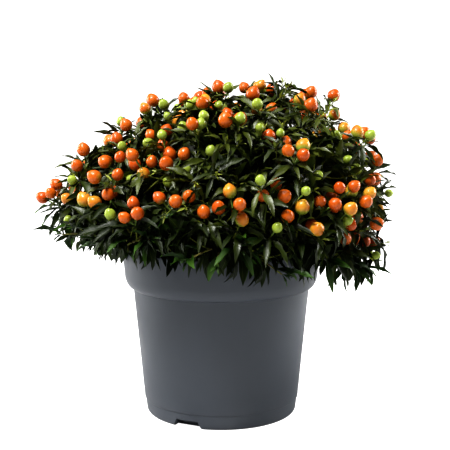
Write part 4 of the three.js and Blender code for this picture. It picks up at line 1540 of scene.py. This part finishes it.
class CHERRY_OT_twigs(bpy.types.Operator):
    """Grow the leafy shoots that fork off the stems of the masses"""

    bl_idname = "cherry.twigs"
    bl_label = "Twigs"

    def execute(self, context):
        wood = context.scene.cherry_wood
        _, shoots = grow_crown(context.scene.cherry_foliage.fine_shoots)
        template = tube_template(SHOOT_SIDES, SHOOT_STEPS)
        groups = (
            ("twigs_old", MAIN_RADII, wood.bark, wood.shoot),
            ("twigs_green", FINE_RADII, wood.shoot, wood.shoot),
        )
        for name, radii, low, high in groups:
            curves = [shoot.curve for shoot in shoots if shoot.radii is radii]
            points = np.array([tube_points(template, curve, taper(*radii)) for curve in curves])
            material = bark_material(name.replace("_", " "), low, high, scale=300.0, depth=0.1 * MM)
            finish_piece(name, joined_copies(name, template, points), material)
        return {"FINISHED"}


# Foliage


def leaf_template(columns, rows):
    """A leaf's grid, with its length along X and its half width along Y, closed at its tip."""
    bm = bmesh.new()
    bmesh.ops.create_grid(bm, x_segments=rows, y_segments=columns, size=1)
    bmesh.ops.scale(bm, verts=bm.verts, vec=(0.5, 1, 1))
    bmesh.ops.translate(bm, verts=bm.verts, vec=(0.5, 0, 0))
    tip = [vert for vert in bm.verts if vert.co.x > 1 - 0.5 / rows]
    bmesh.ops.pointmerge(bm, verts=tip, merge_co=(1, 0, 0))
    return Template(bm)


def leaves_mesh(name, rows, template):
    """Leaves with a map whose X runs along each leaf and whose Y runs across it."""
    points = blade_points(rows, template.points[:, 0], template.points[:, 1])
    uvs = template.points[:, :2] * (1, 0.5) + (0, 0.5)
    return joined_copies(name, template, points, uvs)


def midribs_mesh(name, rows):
    """A narrow raised strip along the upper face of each leaf."""
    template = leaf_template(MIDRIB_COLUMNS, MIDRIB_ROWS)
    share, across = template.points[:, 0], template.points[:, 1]
    right, middle, left = (
        blade_points(rows, share * MIDRIB_REACH, np.full(len(share), place)) for place in (0.5, 0, -0.5)
    )
    side = right - left
    side = side / np.maximum(np.linalg.norm(side, axis=-1, keepdims=True), TINY)
    angle = (rows["bend"][:, None] * share)[..., None]
    up = rows["face"][:, None] * np.cos(angle) + rows["way"][:, None] * np.sin(angle)
    half = MIDRIB_WIDTH / 2 * (1 - MIDRIB_TAPER * share)
    lift = MIDRIB_LIFT * (1 + MIDRIB_RIDGE * (1 - np.abs(across)))
    points = middle + side * (half * across)[None, :, None] + up * lift[None, :, None]
    return joined_copies(name, template, points)


class CHERRY_OT_leaves(bpy.types.Operator):
    """Set leaves along every shoot, in sprays of one colour each"""

    bl_idname = "cherry.leaves"
    bl_label = "Leaves"

    def execute(self, context):
        settings = context.scene.cherry_foliage
        rows = grow_leaves(settings.fine_shoots, context.scene.cherry_berries.share)
        template = leaf_template(LEAF_COLUMNS, LEAF_ROWS)
        replaced = [name for name in NODES if name.startswith("mass_")]
        for kind, (label, roughness, gloss) in enumerate(LEAF_FINISHES):
            name = f"leaves_{label}"
            # Only the hanging leaves get the tip of painted light
            tip = settings.hanging_tip_painted_light if kind == HANGING else None
            colour = getattr(settings, label)
            material = leaf_material(f"leaves {label}", colour, roughness, tip=tip, gloss=gloss)
            mesh = leaves_mesh(name, chosen(rows, rows["kind"] == kind), template)
            finish_piece(name, mesh, material, replaced)
            replaced = ()
        seen = chosen(rows, (rows["outer"] > MIDRIBS_FROM) & (rows["kind"] != YOUNG))
        material = leaf_material("midribs", settings.vein, 0.45, spread=0.15)
        finish_piece("leaf_midribs", midribs_mesh("leaf_midribs", seen), material)
        return {"FINISHED"}


# Berries


def calyx_template():
    """Five pointed sepals round a small middle."""
    bm = bmesh.new()
    bmesh.ops.create_circle(bm, segments=2 * SEPALS, radius=1, cap_ends=True, cap_tris=True)
    for vert in bm.verts:
        turn = math.atan2(vert.co.y, vert.co.x) / (2 * math.pi) * 2 * SEPALS
        between = round(turn) % 2 == 1 and math.hypot(vert.co.x, vert.co.y) > 0.5
        vert.co *= SEPAL_NOTCH if between else 1
    return Template(bm)


def on_berries(rows, shape):
    """The points of a shape round Z, set at each berry's centre, axis and size."""
    axis = rows["axis"]
    first = square_to(np.broadcast_to(BERRY_ACROSS, axis.shape), axis)
    turned = np.einsum("pk,nkj->npj", shape, np.stack([first, np.cross(axis, first), axis], axis=1))
    return rows["centre"][:, None] + rows["radius"][:, None, None] * turned


def berries_mesh(name, rows, template):
    """Berries drawn out to a small point, with how ripe each point of their skin is."""
    shape = template.points.copy()
    upper = np.maximum(shape[:, 2], 0)
    shape[:, :2] *= 1 - BERRY_EGG * upper[:, None]
    shape[:, 2] += BERRY_STRETCH * upper + BERRY_TIP * upper**BERRY_TIP_SHARPNESS
    mesh = joined_copies(name, template, on_berries(rows, shape))
    ripeness = mesh.attributes.new("ripeness", "FLOAT", "POINT")
    lean = np.random.default_rng(BERRY_SEED).uniform(-1, 1, (len(rows["radius"]), 1, 3))
    sunward = lean * RIPENING_LEAN + RIPENING_UP
    value = 0.5 + RIPENING_REACH * np.sum(template.points[None] * sunward, axis=-1)
    ripeness.data.foreach_set("value", value.astype(np.float32).ravel())
    return mesh


def calyxes_mesh(rows):
    """Calyxes that hug the berries' stalk ends."""
    template = calyx_template()
    reach = CALYX_REACH * np.hypot(template.points[:, 0], template.points[:, 1])
    height = -CALYX_LIFT * np.sqrt(1 - (CALYX_ROUNDING * reach) ** 2)
    shape = np.column_stack([template.points[:, :2] * CALYX_REACH, height])
    return joined_copies("calyxes", template, on_berries(rows, shape))


def stalks_mesh(rows):
    """Stalks that bow a little under the berries' weight and widen into the calyxes."""
    template = tube_template(STALK_SIDES, STALK_STEPS)
    points = []
    for centre, axis, radius, foot in zip(rows["centre"], rows["axis"], rows["radius"], rows["foot"]):
        top = centre - axis * radius * STALK_REACH
        curve = Bend(foot, foot + (top - foot) * 0.5 - np.array([0, 0, STALK_BOW]), top)
        points.append(tube_points(template, curve, taper(*STALK_RADII)))
    return joined_copies("stalks", template, np.array(points))


class CHERRY_OT_berries(bpy.types.Operator):
    """Hang berries on the outer shoots, each with its stalk and calyx"""

    bl_idname = "cherry.berries"
    bl_label = "Berries"

    def execute(self, context):
        settings = context.scene.cherry_berries
        rows = grow_berries(context.scene.cherry_foliage.fine_shoots, settings.share)
        bm = bmesh.new()
        bmesh.ops.create_uvsphere(bm, u_segments=BERRY_SIDES, v_segments=BERRY_RINGS, radius=1)
        template = Template(bm)
        ripe, orange, turning = rgba(settings.ripe), rgba(settings.orange), rgba(settings.turning)
        olive, green, deep_green = rgba(settings.olive), rgba(settings.green), rgba(settings.green, 0.75)
        # For each kind: its name, the two colours of its skin, its unripe colour, and the
        # range of ripeness over which the one gives way to the other
        skins = {
            RIPE: ("berries_ripe", orange, ripe, olive, (-0.35, 0.1)),
            ORANGE: ("berries_orange", orange, orange, green, (-0.3, 0.2)),
            TURNING: ("berries_turning", orange, turning, green, (0.0, 0.6)),
            GREEN: ("berries_green", green, deep_green, green, (-2.0, -1.0)),
        }
        for kind, (name, light, deep, unripe, unripe_range) in skins.items():
            mine = chosen(rows, rows["kind"] == kind)
            material = berry_material(name.replace("_", " "), light, deep, unripe, unripe_range)
            finish_piece(name, berries_mesh(name, mine, template), material)
        stalk = leaf_material("berry stalks", settings.stalk, 0.45, spread=0.2)
        finish_piece("berry_stalks", stalks_mesh(rows), stalk)
        finish_piece("berry_calyxes", calyxes_mesh(rows), stalk)
        return {"FINISHED"}


# Stage


def aimed(place, target):
    return (Vector(target) - Vector(place)).to_track_quat("-Z", "Y").to_euler()


def camera_ray(tree):
    """1 where the camera looks straight at a surface, and 0 for the light that it gives."""
    return add(tree, "LightPath")["Is Camera Ray"]


class CHERRY_OT_stage(bpy.types.Operator):
    """Set the pale floor, the soft lights and the camera"""

    bl_idname = "cherry.stage"
    bl_label = "Stage"

    def execute(self, context):
        settings = context.scene.cherry_stage
        self.make_floor(settings)
        self.make_lights()
        self.make_surroundings(context.scene)
        self.make_camera(context.scene, settings)
        return {"FINISHED"}

    def make_floor(self, settings):
        bm = bmesh.new()
        bmesh.ops.create_grid(bm, x_segments=8, y_segments=8, size=FLOOR_HALF)
        floor = in_scene("floor", mesh_from("floor", bm))
        finish = Finish("Pale floor", Roughness=0.9, Specular_IOR_Level=0.1, Emission_Color=WHITE)
        colour, _ = finish.mottle(scale=1.5, low=rgba(settings.floor, 0.99), high=rgba(settings.floor))
        finish.feed("Base Color", colour)
        glow = ramp(finish.tree, camera_ray(finish.tree), end=(settings.floor_spill, settings.floor_glow))
        finish.feed("Emission Strength", glow)
        floor.data.materials.append(finish.material)

    def make_lights(self):
        for name, place, size, power in LIGHTS:
            light = bpy.data.lights.new(name, "AREA")
            light.size = size
            light.energy = power
            lamp = in_scene(name, light)
            lamp.location = place
            lamp.rotation_euler = aimed(place, LIGHT_TARGET)
        sun = bpy.data.lights.new("overhead", "SUN")
        sun.energy = SUN_STRENGTH
        sun.angle = math.radians(SUN_ANGLE)
        in_scene("overhead", sun).rotation_euler = aimed(SUN_PLACE, (0, 0, 0))

    def make_surroundings(self, scene):
        world = bpy.data.worlds.new("studio")
        scene.world = world
        world.use_nodes = True
        tree = world.node_tree
        background = next(node for node in tree.nodes if node.type == "BACKGROUND")
        strength = ramp(tree, camera_ray(tree), end=(WORLD_STRENGTH, 1.0))
        tree.links.new(strength, background.inputs["Strength"])
        background.inputs["Color"].default_value = WHITE
        scene.view_settings.view_transform = "Standard"
        scene.view_settings.look = LOOK

    def make_camera(self, scene, settings):
        data = bpy.data.cameras.new("camera")
        data.sensor_width = SENSOR_WIDTH
        data.lens = FOCAL_PIXELS / IMAGE_SIZE * SENSOR_WIDTH
        camera = in_scene("camera", data)
        camera.location = (settings.camera_side, -settings.camera_distance, settings.camera_height)
        camera.rotation_euler = (math.pi / 2 - settings.camera_pitch, 0, 0)
        scene.camera = camera


class CHERRY_PT_sidebar(bpy.types.Panel):
    """Lists the settings and the steps of the potted jerusalem cherry"""

    bl_idname = "CHERRY_PT_sidebar"
    bl_label = "Potted Jerusalem Cherry"
    bl_space_type = "VIEW_3D"
    bl_region_type = "UI"
    bl_category = "Cherry"

    def draw(self, context):
        for name, steps in STEPS.items():
            box = self.layout.box()
            group = getattr(context.scene, name)
            for prop in group.__annotations__:
                box.prop(group, prop)
            for step in steps:
                box.operator(step.bl_idname)


SETTINGS = {
    "cherry_pot": CherryPotSettings,
    "cherry_soil": CherrySoilSettings,
    "cherry_wood": CherryWoodSettings,
    "cherry_foliage": CherryFoliageSettings,
    "cherry_berries": CherryBerrySettings,
    "cherry_stage": CherryStageSettings,
}
STEPS = {
    "cherry_stage": (CHERRY_OT_stage,),
    "cherry_pot": (CHERRY_OT_pot,),
    "cherry_soil": (CHERRY_OT_soil,),
    "cherry_wood": (CHERRY_OT_wood, CHERRY_OT_twigs),
    "cherry_foliage": (CHERRY_OT_leaves,),
    "cherry_berries": (CHERRY_OT_berries,),
}
CLASSES = (*SETTINGS.values(), *itertools.chain(*STEPS.values()), CHERRY_PT_sidebar)


def register():
    for item in CLASSES:
        bpy.utils.register_class(item)
    for name, group in SETTINGS.items():
        setattr(bpy.types.Scene, name, PointerProperty(type=group))


def unregister():
    for name in SETTINGS:
        delattr(bpy.types.Scene, name)
    for item in reversed(CLASSES):
        bpy.utils.unregister_class(item)


def main():
    register()
    bpy.ops.cherry.stage()
    bpy.ops.cherry.pot()
    bpy.ops.cherry.soil()
    bpy.ops.cherry.wood()
    bpy.ops.cherry.twigs()
    bpy.ops.cherry.leaves()
    bpy.ops.cherry.berries()


if __name__ == "__main__":
    main()
